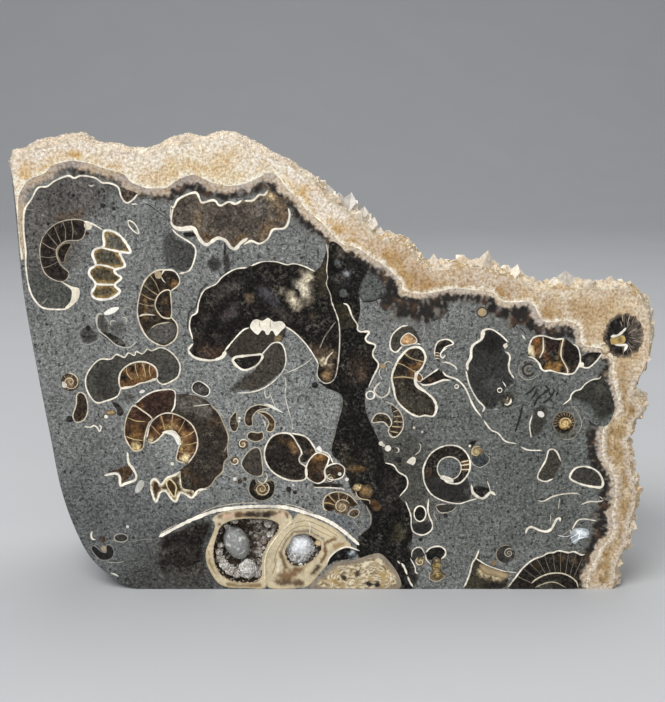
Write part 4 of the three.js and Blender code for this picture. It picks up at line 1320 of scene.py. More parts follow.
# The lower left: a long curving shell wall over two hollows lined with calcite.
def lower_hollows():
    # Dark calcite under the long shell wall. Its lower part, dark grey down to the base, is painted shade.
    dark([(-55.9, 18), (-48, 22.4), (-44, 24.3), (-41.4, 25), (-37.8, 22.2), (-40.8, 13.4), (-41, 10.9),
        (-40.2, 7), (-41, 1), (-50, 1), (-56, 4), (-58, 12)], "1E1A17", rim="stone", rim_width=2.6,
        patches=[([(-56, 2), (-44, 1)], 9, "474541"), ([(-57, 12)], 5, "3A3835"),
        ([(-46, 12), (-50, 14)], 3, "2F2B27"), ([(-42.6, 6)], 2, "353230")])
    partition = [(-21.4, 4), (-21.6, 8), (-20.8, 12.8), (-18, 18), (-12.8, 23.6)]
    pale([(-37.8, 21.9), (-40.8, 13.4), (-41, 10.9), (-40.3, 7.5), (-37.4, 2.4), (-34.9, 0.9), (-28, 0.4),
        (-22, 0.6)] + partition + [(-15, 26.8), (-22, 27.4), (-30, 27.2), (-36, 26), (-38.6, 24)], "D3C3A3",
        holes=[POCKET_A], rim="C4B28E", rim_width=0.7, spacing=0.5,
        patches=[([(-36, 25.4), (-13, 26)], 1.6, "6A5640"), ([(-34.6, 24.6), (-32, 25.4)], 1.3, "D5B49A"),
        ([(-30.4, 25.2)], 1.4, "5E4630"), ([(-27, 25), (-24, 25.2), (-21, 25)], 1.8, "2E241B"),
        ([(-17.4, 25.2), (-16, 25.6)], 1.3, "D8BBA0"), ([(-14.4, 24.8)], 0.9, "3A2C1E"),
        ([(-38.2, 23.4)], 1.2, "D9CCC6"), ([(-36.4, 22.2)], 1, "6E6040"), ([(-19.4, 22.4)], 1.6, "6A5238"),
        ([(-21.6, 16.4), (-22.4, 12)], 0.8, "7A6142"), ([(-34, 1.6), (-30, 1), (-24, 1.2)], 1.2, "8C7658"),
        ([(-38, 5.6), (-39.8, 9), (-40, 13)], 0.5, "A08A66")])
    pale(partition[::-1] + [(-21, 0.8), (-10, 0.6), (-7.6, 1.4), (-4, 5.6), (-0.6, 9.6), (1.4, 12.4),
        (6, 14.6), (4.4, 17.2), (1, 20.6), (-8, 25), (-11, 25.8)], "D2C3A2", holes=[POCKET_B], rim="BCAA88",
        rim_width=0.7, spacing=0.5, patches=[([(-16.4, 4.4), (-13, 5.4), (-10.6, 8)], 2.8, "86694A"),
        ([(-18, 2.4), (-10, 2)], 1.6, "6E5A44"), ([(-12.4, 19.6), (-7.4, 20), (-3, 17.2), (-2.4, 13.6)],
        0.7, "8C7D69"), ([(-16.8, 12.4), (-14.8, 16.8), (-12.6, 19.4)], 0.7, "8C7D69"),
        ([(-16.8, 12.4), (-15, 7.4)], 0.9, "7A6448"), ([(-3.7, 9.3), (-2.2, 12), (-2.4, 15.6), (0.6, 17.4)],
        0.8, "7A5C3C"), ([(-6.6, 5.4), (-4.4, 7.6)], 1.3, "5A4630"),
        ([(-17.4, 9), (-17.8, 6)], 0.8, "EDE2CC"), ([(0.8, 14.6), (3.4, 15.6)], 1.2, "A88E66")])
    shells([[(-19, 9), (-18, 13), (-15.6, 17.4), (-12.4, 20.8), (-8, 21.6), (-3, 19.2), (0.4, 17.6)],
        [(-19.6, 5), (-18.6, 8), (-18.2, 11)], [(-14, 22), (-8.6, 23.4), (-3.4, 21.4), (2, 18)]], 0.28,
        "9C8460", ragged=0.3)
    shell([(-7.6, 23.4), (-7.2, 21), (-7.5, 18.6)], 0.35, "F2EADB")
    shell([(-12.6, 21.4), (-12, 23.2)], 0.3, "F2EADB")
    shell([(-21.9, 3), (-22, 9), (-21, 13.1), (-18.2, 17.7), (-12.9, 23.6)], 0.4, "F0E6D0")


LOBE_FOLD = 1.2


# The folded beige lobe beside them, and the black calcite above it and on its right.
def folded_lobe():
    lobe = smooth([(-7.3, 0.5), (-5.1, 3.6), (-1.2, 7), (1.35, 9.3), (6.7, 10), (12.4, 11.9), (15.3, 12.3),
                   (18.9, 8.9), (21.8, 4), (22, 0.5)], closed=True, step=0.5)
    side = [(27.4, 0.4), (29, 3), (27.6, 11), (26.2, 15)]
    dark([(8.2, 16), (8, 13), (8.6, 11), (12, 11), (15.4, 11.4), (17.6, 10), (20, 6), (21, 0.4)] + side
         + [(24.4, 17), (18, 16.4)], "161513", fade=side, fade_width=2,
         patches=[([(25, 3), (26, 8)], 2.4, "34322F"), ([(20.6, 12.4)], 1.6, "2E2A25")])
    places, faces, gaps, _ = triangles([lobe], 0.36)
    wavy = gaps + 2.6 * (clouds(places, 3.6, 90.0) - 0.5) + 1.3 * (clouds(places, 1.3, 95.0) - 0.5)
    fold = 0.5 + 0.5 * np.sin(2 * math.pi * wavy / LOBE_FOLD)
    tint = mix("86704E", "E6D8BA", smoothstep(0.0, 0.8, fold + 0.7 * (clouds(places, 0.8, 99.0) - 0.5)))
    tint = mix(tint, "B59A6A", smoothstep(0.55, 0.75, clouds(places, 2.2, 9.0)) * 0.7)
    for line, radius, colour in (([(3.7, 4.2)], 1.6, "3E3524"), ([(7.9, 5.2)], 1.4, "43392A"),
            ([(11.8, 1.8), (14.8, 1.8)], 1.3, "2A241C"), ([(1, 2.4)], 1.6, "A08858"),
            ([(16.6, 5)], 1.8, "B99E6C"), ([(10.6, 8.2)], 1.5, "EFE3C8")):
        reach = away_from(np.array(line, float), places) + 1.2 * (clouds(places, 1.4, 77.0) - 0.5)
        tint = mix(tint, colour, 1 - smoothstep(0.3 * radius, radius, reach))
    edge = mix("A0937F", "86796A", clouds(places, 1.2, 55.0))
    tint = mix(edge, tint, smoothstep(1.1, 1.9, gaps + 0.8 * (clouds(places, 1.6, 65.0) - 0.5)))
    pale_fills.add(places, faces, tint)
    dark([(-1.6, 8.2), (-0.8, 10.6), (0.8, 12.4), (3, 13.8), (5, 14.2), (8.4, 13), (7, 11), (4, 10.2),
        (1, 9.8)], "121110", patches=[([(6.2, 12.5)], 1.6, "98A2A8"), ([(2, 11.4)], 0.8, "6A6E70")])
    shell([(-1.8, 8.8), (-1, 10.8), (0.6, 12.6), (3, 14.1), (5, 14.5), (8.8, 13.2)], 0.6)
    shell([(-55.9, 18), (-48, 22.4), (-44, 24.3), (-38, 26.6), (-30, 27.9), (-23, 28.3), (-15, 27.9),
        (-9, 26.2), (-2, 23.6), (3, 20.3), (8.6, 15.2)], 1.25, "F7EFDF", ragged=0.2)
    pale([(-5.4, 16.6), (-4.4, 17), (-3.6, 16), (-4, 14.8), (-5.8, 15.6)], "CDB48C", spacing=0.4,
        rim="8A7454", rim_width=0.4)
    shells([[(-55.9, 18.9), (-53, 20.6), (-50, 22.2)], [(-42.2, 26), (-38, 27.9), (-30, 29.3), (-23.6, 29.4)],
            [(-15, 29), (-12, 28.4), (-6, 26)]], 0.26, "D9CFBA")


# The dark seam of calcite that runs down the middle of the block.
def dark_seam():
    step = [(7.8, 87.4), (7.8, 86), (8.6, 85.4), (11.4, 85.3), (10.3, 83.2), (10.8, 82.2), (13.4, 81),
        (12.6, 78.8), (12.8, 77.4), (14.4, 75), (12.8, 71), (11.4, 67.8)]
    notch = [(16.8, 42.8), (19.4, 42), (21, 39.8), (23.6, 38), (23.9, 35), (21.4, 31.5)]
    dark([(-0.4, 113.6), (2, 112.6), (4.6, 109.6), (10.4, 105.4), (10.6, 103.6), (8.4, 99.4), (8.6, 92)]
        + step + [(10.4, 66.4), (10.2, 64), (10.8, 59), (13, 54), (16, 47)] + notch + [(23, 29.6),
        (25, 24.8), (25.8, 18.6), (24.6, 14), (20, 11.6), (17, 13), (10, 14.6), (8.6, 15.4), (8.6, 17.8),
        (12.4, 22), (12.4, 26), (9, 30.4), (6, 34), (4.4, 38.6), (2.4, 42.8), (-0.2, 46), (1, 53),
        (3, 64.6), (-2, 67.4), (-4.4, 69.4), (-2.5, 68.9), (0.4, 70), (1.2, 72), (2.2, 81), (1.9, 88.5),
        (-0.3, 95), (-0.6, 97), (-1.9, 100.5), (-1.5, 102.5), (-1.8, 104.5), (-1.4, 110)], "100F0D",
        spacing=0.8, rim="1C1916", patches=[([(3, 111)], 3.4, "4A443C"),
        ([(6, 104), (3, 101)], 3.6, "262423"), ([(4.4, 103.8)], 1.6, "8A8C8E"),
        ([(1.6, 106.6)], 1.2, "6E7072"), ([(7, 72), (9, 76)], 5, "2A221C"),
        ([(8.6, 73), (9, 70.6)], 1.8, "4E4034"), ([(21, 16), (21.4, 20)], 3, "3C3828"),
        ([(18, 30), (19, 37)], 5, "221F1C"), ([(6, 40), (4, 46)], 3, "2B241C"),
        ([(13, 40), (9, 48)], 4, "1A1715")])
    dark([(1.2, 93.6), (3.4, 94.4), (4.8, 93.6), (7.8, 87.6), (6, 86.6), (2.2, 86.5), (1.8, 90)], "2C281E",
         patches=[([(4, 91)], 1.6, "3E3624")])
    dot(3.3, 97.5, 1.3, "4E4F4D", mud)
    shell([(3.4, 94.3), (4.6, 93.8), (6.2, 90)] + step, 0.62)
    shell(notch, 0.45)
    mud([(10.8, 103.8), (14.6, 102.6), (15.6, 100.4), (17, 98), (16, 96.6), (14.4, 95.6), (9.6, 95),
        (8.1, 97.6), (9.4, 102)], "5C5E5A", rim="3E3D3A")
    shell([(9, 94.8), (12, 94.9), (14.6, 95.9)], 0.4, "1A1918")
    shells([[(-0.4, 47), (0.2, 50.6), (2.8, 62.4)], [(10.5, 66), (10.3, 63), (10.6, 60)]], 0.25, "6F685B")


# The right side, upper part: curled chambers, a long thread of shell and a row of dark chambers.
def upper_right():
    walled([(23.6, 87.3), (21.6, 87), (18.6, 84.2), (18, 80.6), (18.8, 79.2), (20, 78.9), (21.8, 80.8)],
        "454239", [(27, 82), (26, 85.6)], 0.5, mud, rim="4A4840")
    chamber([(21.4, 81.6), (21.4, 83), (23.6, 84.9), (26.2, 83), (26.2, 82), (22, 81.1)], "C49C70", 0.35,
            rim="94724A")
    shell([(26, 81.4), (26.8, 81.5), (27.6, 81.1)], 0.45)
    shell([(27.6, 82.6), (28.4, 84.6), (28.8, 87)], 0.28, FAINT)
    chamber([(20.4, 76), (21, 77), (24, 80), (27.4, 80.2), (29.1, 77.4), (28.2, 74.2), (27.4, 73, 0.8),
        (26.4, 72, 1.2), (26.1, 69, 1.2), (26.8, 67.8, 1.2), (29.6, 65.8, 0.7), (32, 63.4, 0.9),
        (32.8, 60.8, 1), (31.8, 58.2, 0.7), (29, 58.4), (27.4, 58), (24.4, 59.2), (20.2, 63.4),
        (19.2, 67.4), (18.6, 71)], "2A241D", 0.5, rim="3D2F20",
        patches=[([(25.2, 72), (25, 73.6)], 1.6, "7A5630"), ([(27.2, 75)], 1.7, "86623A"),
        ([(21, 76)], 1.1, "5C442A"), ([(28, 62), (23, 63)], 4.6, "3D3930"), ([(22, 68)], 3, "383127"),
        ([(24, 79)], 1, "50402A")])
    septa([[(22.4, 78.6), (24.4, 77), (28.9, 75.6)], [(19.6, 75.6), (22, 74.8), (26.4, 72.2)],
           [(18.7, 70.6), (22, 70.9), (26, 70.4)]], 0.26, "C9B68E")
    chamber([(26.2, 71), (26.8, 72.2), (28.2, 70.8), (27.8, 69.6), (27, 69.4)], "6A4B28", 0.3)
    dark([(28, 69.6), (33.2, 73.4), (36.8, 69.8), (34.4, 69.9), (30.4, 68.4), (27.8, 68.9)], "241E1A",
         patches=[([(30.6, 70)], 1, "5C4630")])
    shell([(28, 69.8), (30.4, 71.6), (33.2, 73.5)], 0.5)
    shell([(27.6, 68.8), (28.6, 68.3), (31, 68.5), (35, 69.9), (37, 69.8)], 0.7)
    walled([(32, 77.6), (31.9, 79.4), (33, 82.2), (36, 82.9), (37.7, 81.6), (35.2, 80.4), (33.6, 78)],
        "26201A", [(33.4, 75.7)], 0.5, patches=[([(34.6, 76.6)], 1.2, "A48A60"),
        ([(32.6, 77.8)], 1, "7A6242")])
    shell([(35.8, 80.2), (34, 78.8), (33.8, 77.6), (34.6, 77), (35.2, 78)], 0.45, "F4EEE0")
    shells([[(31.9, low), (32.7, low + 0.2), (33.5, low - 0.1)] for low in (76.7, 77.6, 78.5)], 0.3)
    shell([(34.4, 75.6), (36, 75.5), (38.4, 74.2, 0.7), (39, 73.2, 0.9)], 0.5)
    shell([(34.5, 72.6), (35.6, 71.4), (39, 70.1), (41.4, 67.8), (44.6, 61.2), (47, 58)], 0.62)
    shell([(47.8, 56.8), (50.2, 53.7), (52.4, 52.6), (54.8, 50), (58.4, 49.1)], 0.55)
    shell([(59.8, 48.1), (62, 47.1), (66.6, 46.9)], 0.5)
    ring(oval(39, 67.8, 0.6, step=0.25), 0.25)

    first = [(47.2, 59.4), (47.9, 60.9), (45.6, 63.6), (43, 68.4), (41.8, 73)]
    second = [(42.4, 73), (42.2, 75), (43.2, 77), (43.4, 80), (44, 81.2), (46.4, 83, 0.9), (46.8, 84.4, 1.4),
              (47, 85.6, 1.1), (48.2, 86.2, 0.7), (49.8, 86, 0.5), (52.8, 84), (54.9, 81.9)]
    third = [(53.9, 79), (55, 78.4), (55.5, 77.4), (55.2, 74.4), (55.6, 72.6), (57, 70.4)]
    mud(first + [p[:2] for p in second] + [(54, 81)] + third
        + [(57, 69), (54, 65), (52, 62), (50, 60.4), (48, 60.8)], "363533", rim="474744", rim_width=1,
        patches=[([(47, 82), (52, 83), (50, 80.4)], 4, "1F1D1B"), ([(50, 68)], 5, "454542"),
        ([(45, 78)], 2.4, "33312E")])
    mud([(57, 70), (57, 69), (55, 67.6), (52, 62), (50, 60.2), (52, 59.8), (56, 62), (58.6, 66)], "555550",
        rim="stone", rim_width=1.6)
    shell(first, 0.55)
    shell(second, 0.6)
    shell([(54.4, 81.8, 1.2), (54, 80.9, 1.7), (53.9, 79.9, 0.8)], 1.2)
    shell(third, 0.65)
    shell([(53.4, 69.4), (54, 68.6), (54.6, 67.6)], 0.4)
    ring(oval(52.6, 66.6, 0.7, step=0.25), 0.28)
    dark(oval(55, 63.5, 2.4, 2.6), "34312B", curved=False, rim="4A4841", rim_width=0.8,
         patches=[([(55, 63)], 1.3, "857A5E")])
    shell([(54.2, 62.2), (55.2, 61.9), (56.1, 62.7), (56.2, 63.9)], 0.6, "EFE7D6")
    shell([(54.6, 63.4), (55.2, 63.7), (55.1, 64.6)], 0.3, "C9BC9F")
    shell([(50.8, 60.2), (51.6, 60.5), (52.4, 60.3)], 0.4, THREAD)

    roof = [(61.2, 79), (61.6, 81.4), (62.4, 83.2), (64, 84), (66, 84), (69.6, 83), (72.2, 83.2)]
    floor_line = [(61.2, 77.4), (62.8, 77), (64.8, 75), (65.4, 73.6), (66.6, 72.8), (68, 73), (71, 72.2),
        (74.4, 71.8), (75.8, 72.2), (77.6, 74.8), (78.6, 74), (80.2, 73.9), (82.8, 76.2), (84.2, 78.4)]
    dark(roof + [(75, 81.4), (77.2, 79.2), (77.6, 77.4), (80, 78.6)] + floor_line[::-1], "1D1815",
        spacing=0.45, patches=[([(63.6, 79.6), (63.6, 82.4)], 2.4, "7E542C"),
        ([(62.2, 78.2), (61.6, 80)], 1.5, "E0CFA8"), ([(68.6, 80.6)], 2.4, "2E1C16"),
        ([(67.6, 74.2), (70.4, 73.6)], 2.5, "94703E"), ([(67, 76.6), (66.4, 78.4)], 1.3, "5A3A22"),
        ([(70.6, 77)], 1, "5C432A"), ([(76.4, 73.6)], 1.4, "3A2A1C"), ([(81, 76.6)], 1.6, "46433C")])
    shells([roof, floor_line], 0.6)
    shell([(75, 81.4), (76.4, 80.6), (77.5, 77.4), (77.4, 74)], 0.5)
    septa([[(65.6, 83.6), (65.8, 81.6), (65.8, 79.4), (64.8, 77)],
           [(72, 83.2), (71.4, 79.4), (71.6, 77.2), (73.6, 73.4), (73.8, 72.2)]], 0.5, "E8DCC2")
    dot(77.9, 74.8, 0.9)
    for radius, width, colour in ((3.2, 0.35, "A29C8E"), (1.9, 0.8, "3A342D"), (1.2, 0.3, "A89C84"),
            (0.5, 0.5, "4E4336")):
        shell(oval(61.5, 73.2, radius, start=40, sweep=300, step=0.35), width, colour)
    shells([[(66.6, 68.4), (68, 66.8), (68.4, 65)], [(62.4, 63.6), (63.6, 65.2), (64.2, 66.8)],
        [(68.2, 64), (69.4, 62.8)], [(60.6, 65), (62.4, 66.4), (64, 68.2)],
        [(63.6, 61.4), (64.4, 63.6), (67, 66), (68.6, 67.4)], [(66, 62.4), (67.6, 63.2), (70, 66.4)],
        [(70.4, 64.6), (71, 66.4)], [(59.8, 61.4), (59.4, 58.6), (57.8, 52.8)]], 0.75, "2A2826", ragged=0.4)
    hem = [(86.6, 55), (82, 56), (80.4, 60), (77, 62)]
    mud([(75.2, 65.2), (78, 66.7), (79.4, 68.4), (84.2, 70.6), (86, 69), (88.4, 63.6), (89, 60)] + hem,
        "3A3933", fade=[(90, 58)] + hem, fade_width=3,
        patches=[([(84, 66)], 3, "46453C"), ([(87, 60)], 2.6, "2C2A26")])
    shell([(72.6, 61.8), (74.8, 63.8), (75.2, 65.2), (76.4, 66.4), (78, 66.9), (79.4, 68.6), (81.6, 70),
        (83.9, 70.5), (84.3, 71.2)], 0.45)
    mud(oval(73.4, 55.6, 4.4, 4.8), "5E5A51", curved=False, rim="stone", rim_width=1)
    shell([(75.4, 61.4), (77, 60), (78.8, 55.4), (76.6, 51.2), (74.6, 50.5), (72.8, 50.7)], 0.3, "A9A08C")
    dark(oval(73.2, 56, 3.5, 3.6), "1F1A16", curved=False, rim="4A463E", rim_width=0.7)
    for k in range(13):
        angle = math.radians(18 * k - 20)
        shell([(73.4 + 2.1 * math.cos(angle), 56 + 2.1 * math.sin(angle)),
               (73.2 + 3.4 * math.cos(angle + 0.12), 56 + 3.5 * math.sin(angle + 0.12))], 0.3, "A08A66")
    shell(oval(73.2, 56, 3.5, 3.6, start=-40, sweep=270), 0.25, "8C8070")
    coil(73.5, 55.8, 2.0, 1.8, 0, 1, "9A7846", "CDB27C", 0, 0.36, colour="E2CE9C")
    walled([(63, 51), (62.4, 55.4), (63.1, 58.6)], "3F3D37",
        [(63.6, 61), (66, 62.6), (68.4, 60), (67.4, 55), (65.6, 52)], 0.38, mud, rim="stone", rim_width=1)
    dot(65.8, 58.8, 1.2, "E9E4DA", rz=0.9, turn=-40)
    ring(oval(11.9, 65, 1.3, step=0.3), 0.5, "F2ECDF")
    shells([[(16, 74.8), (17, 75.8), (18.2, 75.6), (19, 74.8)], [(15, 73.6), (14.6, 72), (15.6, 70)],
            [(16.9, 74), (16.9, 73.3), (16.9, 72.6)]], 0.35, "D0C8B8")
    shell([(15, 69.2), (13.2, 67), (13.4, 65.6), (15.4, 64.2), (17.6, 65.6), (18, 68)], 0.58, "D0C8B8")
    dot(15.8, 74.4, 0.9, "9A8566")


# The right side, middle part: two small coils, the great spiral and scattered whorls round it.
def middle_right():
    chamber([(12.4, 56.4), (14, 58.9), (17.2, 58.6), (18.7, 56), (18, 54.6), (16.2, 56.2), (12.6, 56.1)],
        "332A20", 0.38, colour="CFC4AE")
    dark([(18.6, 61.6), (21.6, 58.6), (22, 54.2), (21, 52.4), (19.4, 51.6), (18.2, 53.8), (19.2, 57.6)],
        "30261C")
    shell([(16.6, 63), (19.8, 61.4), (22, 58.2), (22.3, 54.4), (20.4, 51.6), (19, 51.3), (17.7, 53),
        (18, 54.4)], 0.45, "D6CBB5")
    septa([[(19.2, 59.6), (20.6, 60.1)], [(19.4, 58), (21.6, 58.2)], [(19.4, 56.4), (22.2, 56.2)],
           [(18.8, 54.8), (21.8, 54.6)], [(18.4, 53.2), (20.8, 52.8)]], 0.32, "CDBE9E")
    for x, z, size, base in ((17.6, 47.6, 1.0, "EFE9DC"), (15.4, 49.2, 0.75, "E6DFD0"),
            (16.2, 48.6, 0.5, "D9D0BE"), (25.8, 54.4, 0.45, "D5CCBA"), (28.4, 53, 0.4, "D5CCBA")):
        dot(x, z, size, base)
    shell(oval(20.3, 47, 0.8, start=-90, sweep=190, step=0.2), 0.35)
    pale([(23.6, 43), (25.6, 44.8), (26.4, 44.4), (26.4, 43), (25.6, 42), (24.8, 42.4)], "E9E1D0",
        spacing=0.4)
    shell([(26.2, 45.4), (27.6, 46.6), (28, 48.4), (27.4, 49.4)], 0.4, "C9C0AE")
    mud(oval(21, 43.8, 1.1), "2A2825", curved=False)

    mud([(44, 30.8), (43.6, 36), (42.8, 38), (40.8, 36.2), (36.6, 36.4), (31, 40), (29.2, 38.6), (30.2, 34),
         (33.4, 31), (38.2, 29.5)], "2C2A27", rim="3A3834", rim_width=1, patches=[([(43, 33)], 2, "4E4E4A")])
    turn_outside = [(36.6, 36.4), (38.6, 35.9), (40.8, 36.2), (43.6, 40), (43.4, 44.6), (40.4, 48),
        (36, 48.5), (31.4, 46), (29, 41.2)]
    dark(turn_outside + [(29.2, 38.4), (31.8, 38.4), (35.4, 37.4)], "1D1916", rim="33281E", patches=[
        ([(42.4, 41)], 1.4, "5F482E"), ([(34, 46)], 2, "2A221A"), ([(30.6, 40)], 1.4, "40311F")])
    mud(oval(37.2, 41, 3.8, 3.8), "696C69", curved=False, rim="5A5C59")
    ring(oval(37.2, 41, 3.8, 3.8), 0.45, "D6CDBB")
    pale([(34.4, 37.8), (36.4, 36.7), (38.6, 36.4), (38.4, 37.4), (35, 38.6)], "F1EBDD", spacing=0.4)
    shell([(35.4, 37.4)] + turn_outside + [(29, 38.6), (29.4, 36.2, 0.55), (31.6, 32.4, 0.45),
        (35.6, 30.1, 0.4), (40.8, 29.2, 0.36), (43, 29.9, 0.35), (46.4, 30.9, 0.32)], 0.62)
    septa([[(40.8, 43), (43.4, 43.6)], [(40.9, 41.9), (43.7, 42.4)], [(40.8, 40.6), (43.7, 40.6)]], 0.35,
        "E8DCC2")
    walled([(39.8, 28.4), (38.6, 26.9), (36.6, 26.2), (34.6, 26.2), (33.2, 28.2), (34, 28.8), (36.4, 29)],
        "3A3832", (), 0.35, mud, "BDB4A2")
    dot(36.4, 25.1, 0.7, "2B2926", mud)
    shell([(32.8, 26.6), (32.6, 25.4), (33.8, 23.2)], 0.32, "BDB4A2")
    dark([(44.8, 34), (46, 32.4), (48.4, 31.3), (50, 32.4), (50, 34), (46, 35)], "24211E")
    shell([(44.3, 35.7, 0.4), (44.6, 34.4, 0.7), (44.9, 33, 1), (47, 31.2), (48.4, 31), (50.6, 33),
        (51.2, 32.8), (52.2, 32)], 0.5)
    shell([(50.6, 33), (50.2, 34.6), (49.4, 36.8)], 0.35)
    coil(45.8, 46.4, 2.0, 1.3, 60, 1, "6E5C42", "BFA97E", 6, 0.4, colour="D2BE96")
    dark([(45.6, 50.2), (44.4, 50), (42.8, 48.4), (43.8, 47.8), (45, 48.8)], "1F1C1A", spacing=0.4)
    dot(43.6, 48.4, 0.45)
    walled([(44.2, 44), (44.4, 42.8), (47, 41.3), (49.8, 43.2), (49.8, 44.6), (48.8, 45.4)], "3D4143",
           [(46, 45.6)], 0.3, mud, "B7B0A2", rim="4C4F50")

    dark(oval(28.1, 25.8, 1.8, 2.5), "1A1816", curved=False)
    ring(oval(28.1, 25.8, 1.9, 2.6, step=0.3), 0.5)
    bowl = [(25.4, 21.4), (26.2, 19.6), (29.2, 18.6), (31.8, 20.2), (32.2, 22)]
    mud([(25.4, 22.6)] + bowl + [(30.6, 23.2), (28, 22.8)], "2C2A27", rim="45433F")
    shell([(23.4, 30), (25.2, 25)] + bowl + [(31, 25.2), (30.6, 27), (30.8, 30.8)], 0.5)
    dot(28.4, 17, 0.7, "2B2926", mud)

    walled([(72.7, 43.4), (71.2, 46.5), (70, 47.3), (68.8, 47), (67.9, 43.8), (65.6, 39), (65.6, 37.6),
        (68, 36.6), (70.4, 37.5)], "454239", [(71.4, 39.4), (72.4, 41.4)], 0.55, mud, rim="4A473E")
    chamber([(75.8, 38.6, 0.7), (77.6, 41.1), (81.2, 41.5), (84.8, 39.6), (86.4, 36.2, 0.9), (86, 34.8),
             (83.6, 34.8), (79.2, 35.8, 0.7), (75.9, 37.6)], "403D37", 0.8, mud, rim="4A473E")
    for line, width in (([(65.6, 30.2), (67.6, 30), (70.4, 31.5), (74.6, 32.5), (78.6, 32.5), (79.2, 32)],
            0.5), ([(79.6, 28.9), (82.6, 29.9), (84.6, 29.8), (86.8, 30.2)], 0.5),
            ([(85.4, 31.6), (86, 31.2), (86.6, 30.6)], 0.4), ([(72.8, 31), (72.6, 29), (72.4, 27.4)], 0.3),
            ([(70, 25.6), (70.1, 24), (70, 22.8)], 0.3), ([(76.4, 20.6), (76.7, 19.8), (76.8, 18.8)], 0.4)):
        shell(line, width, "D9D0BE")


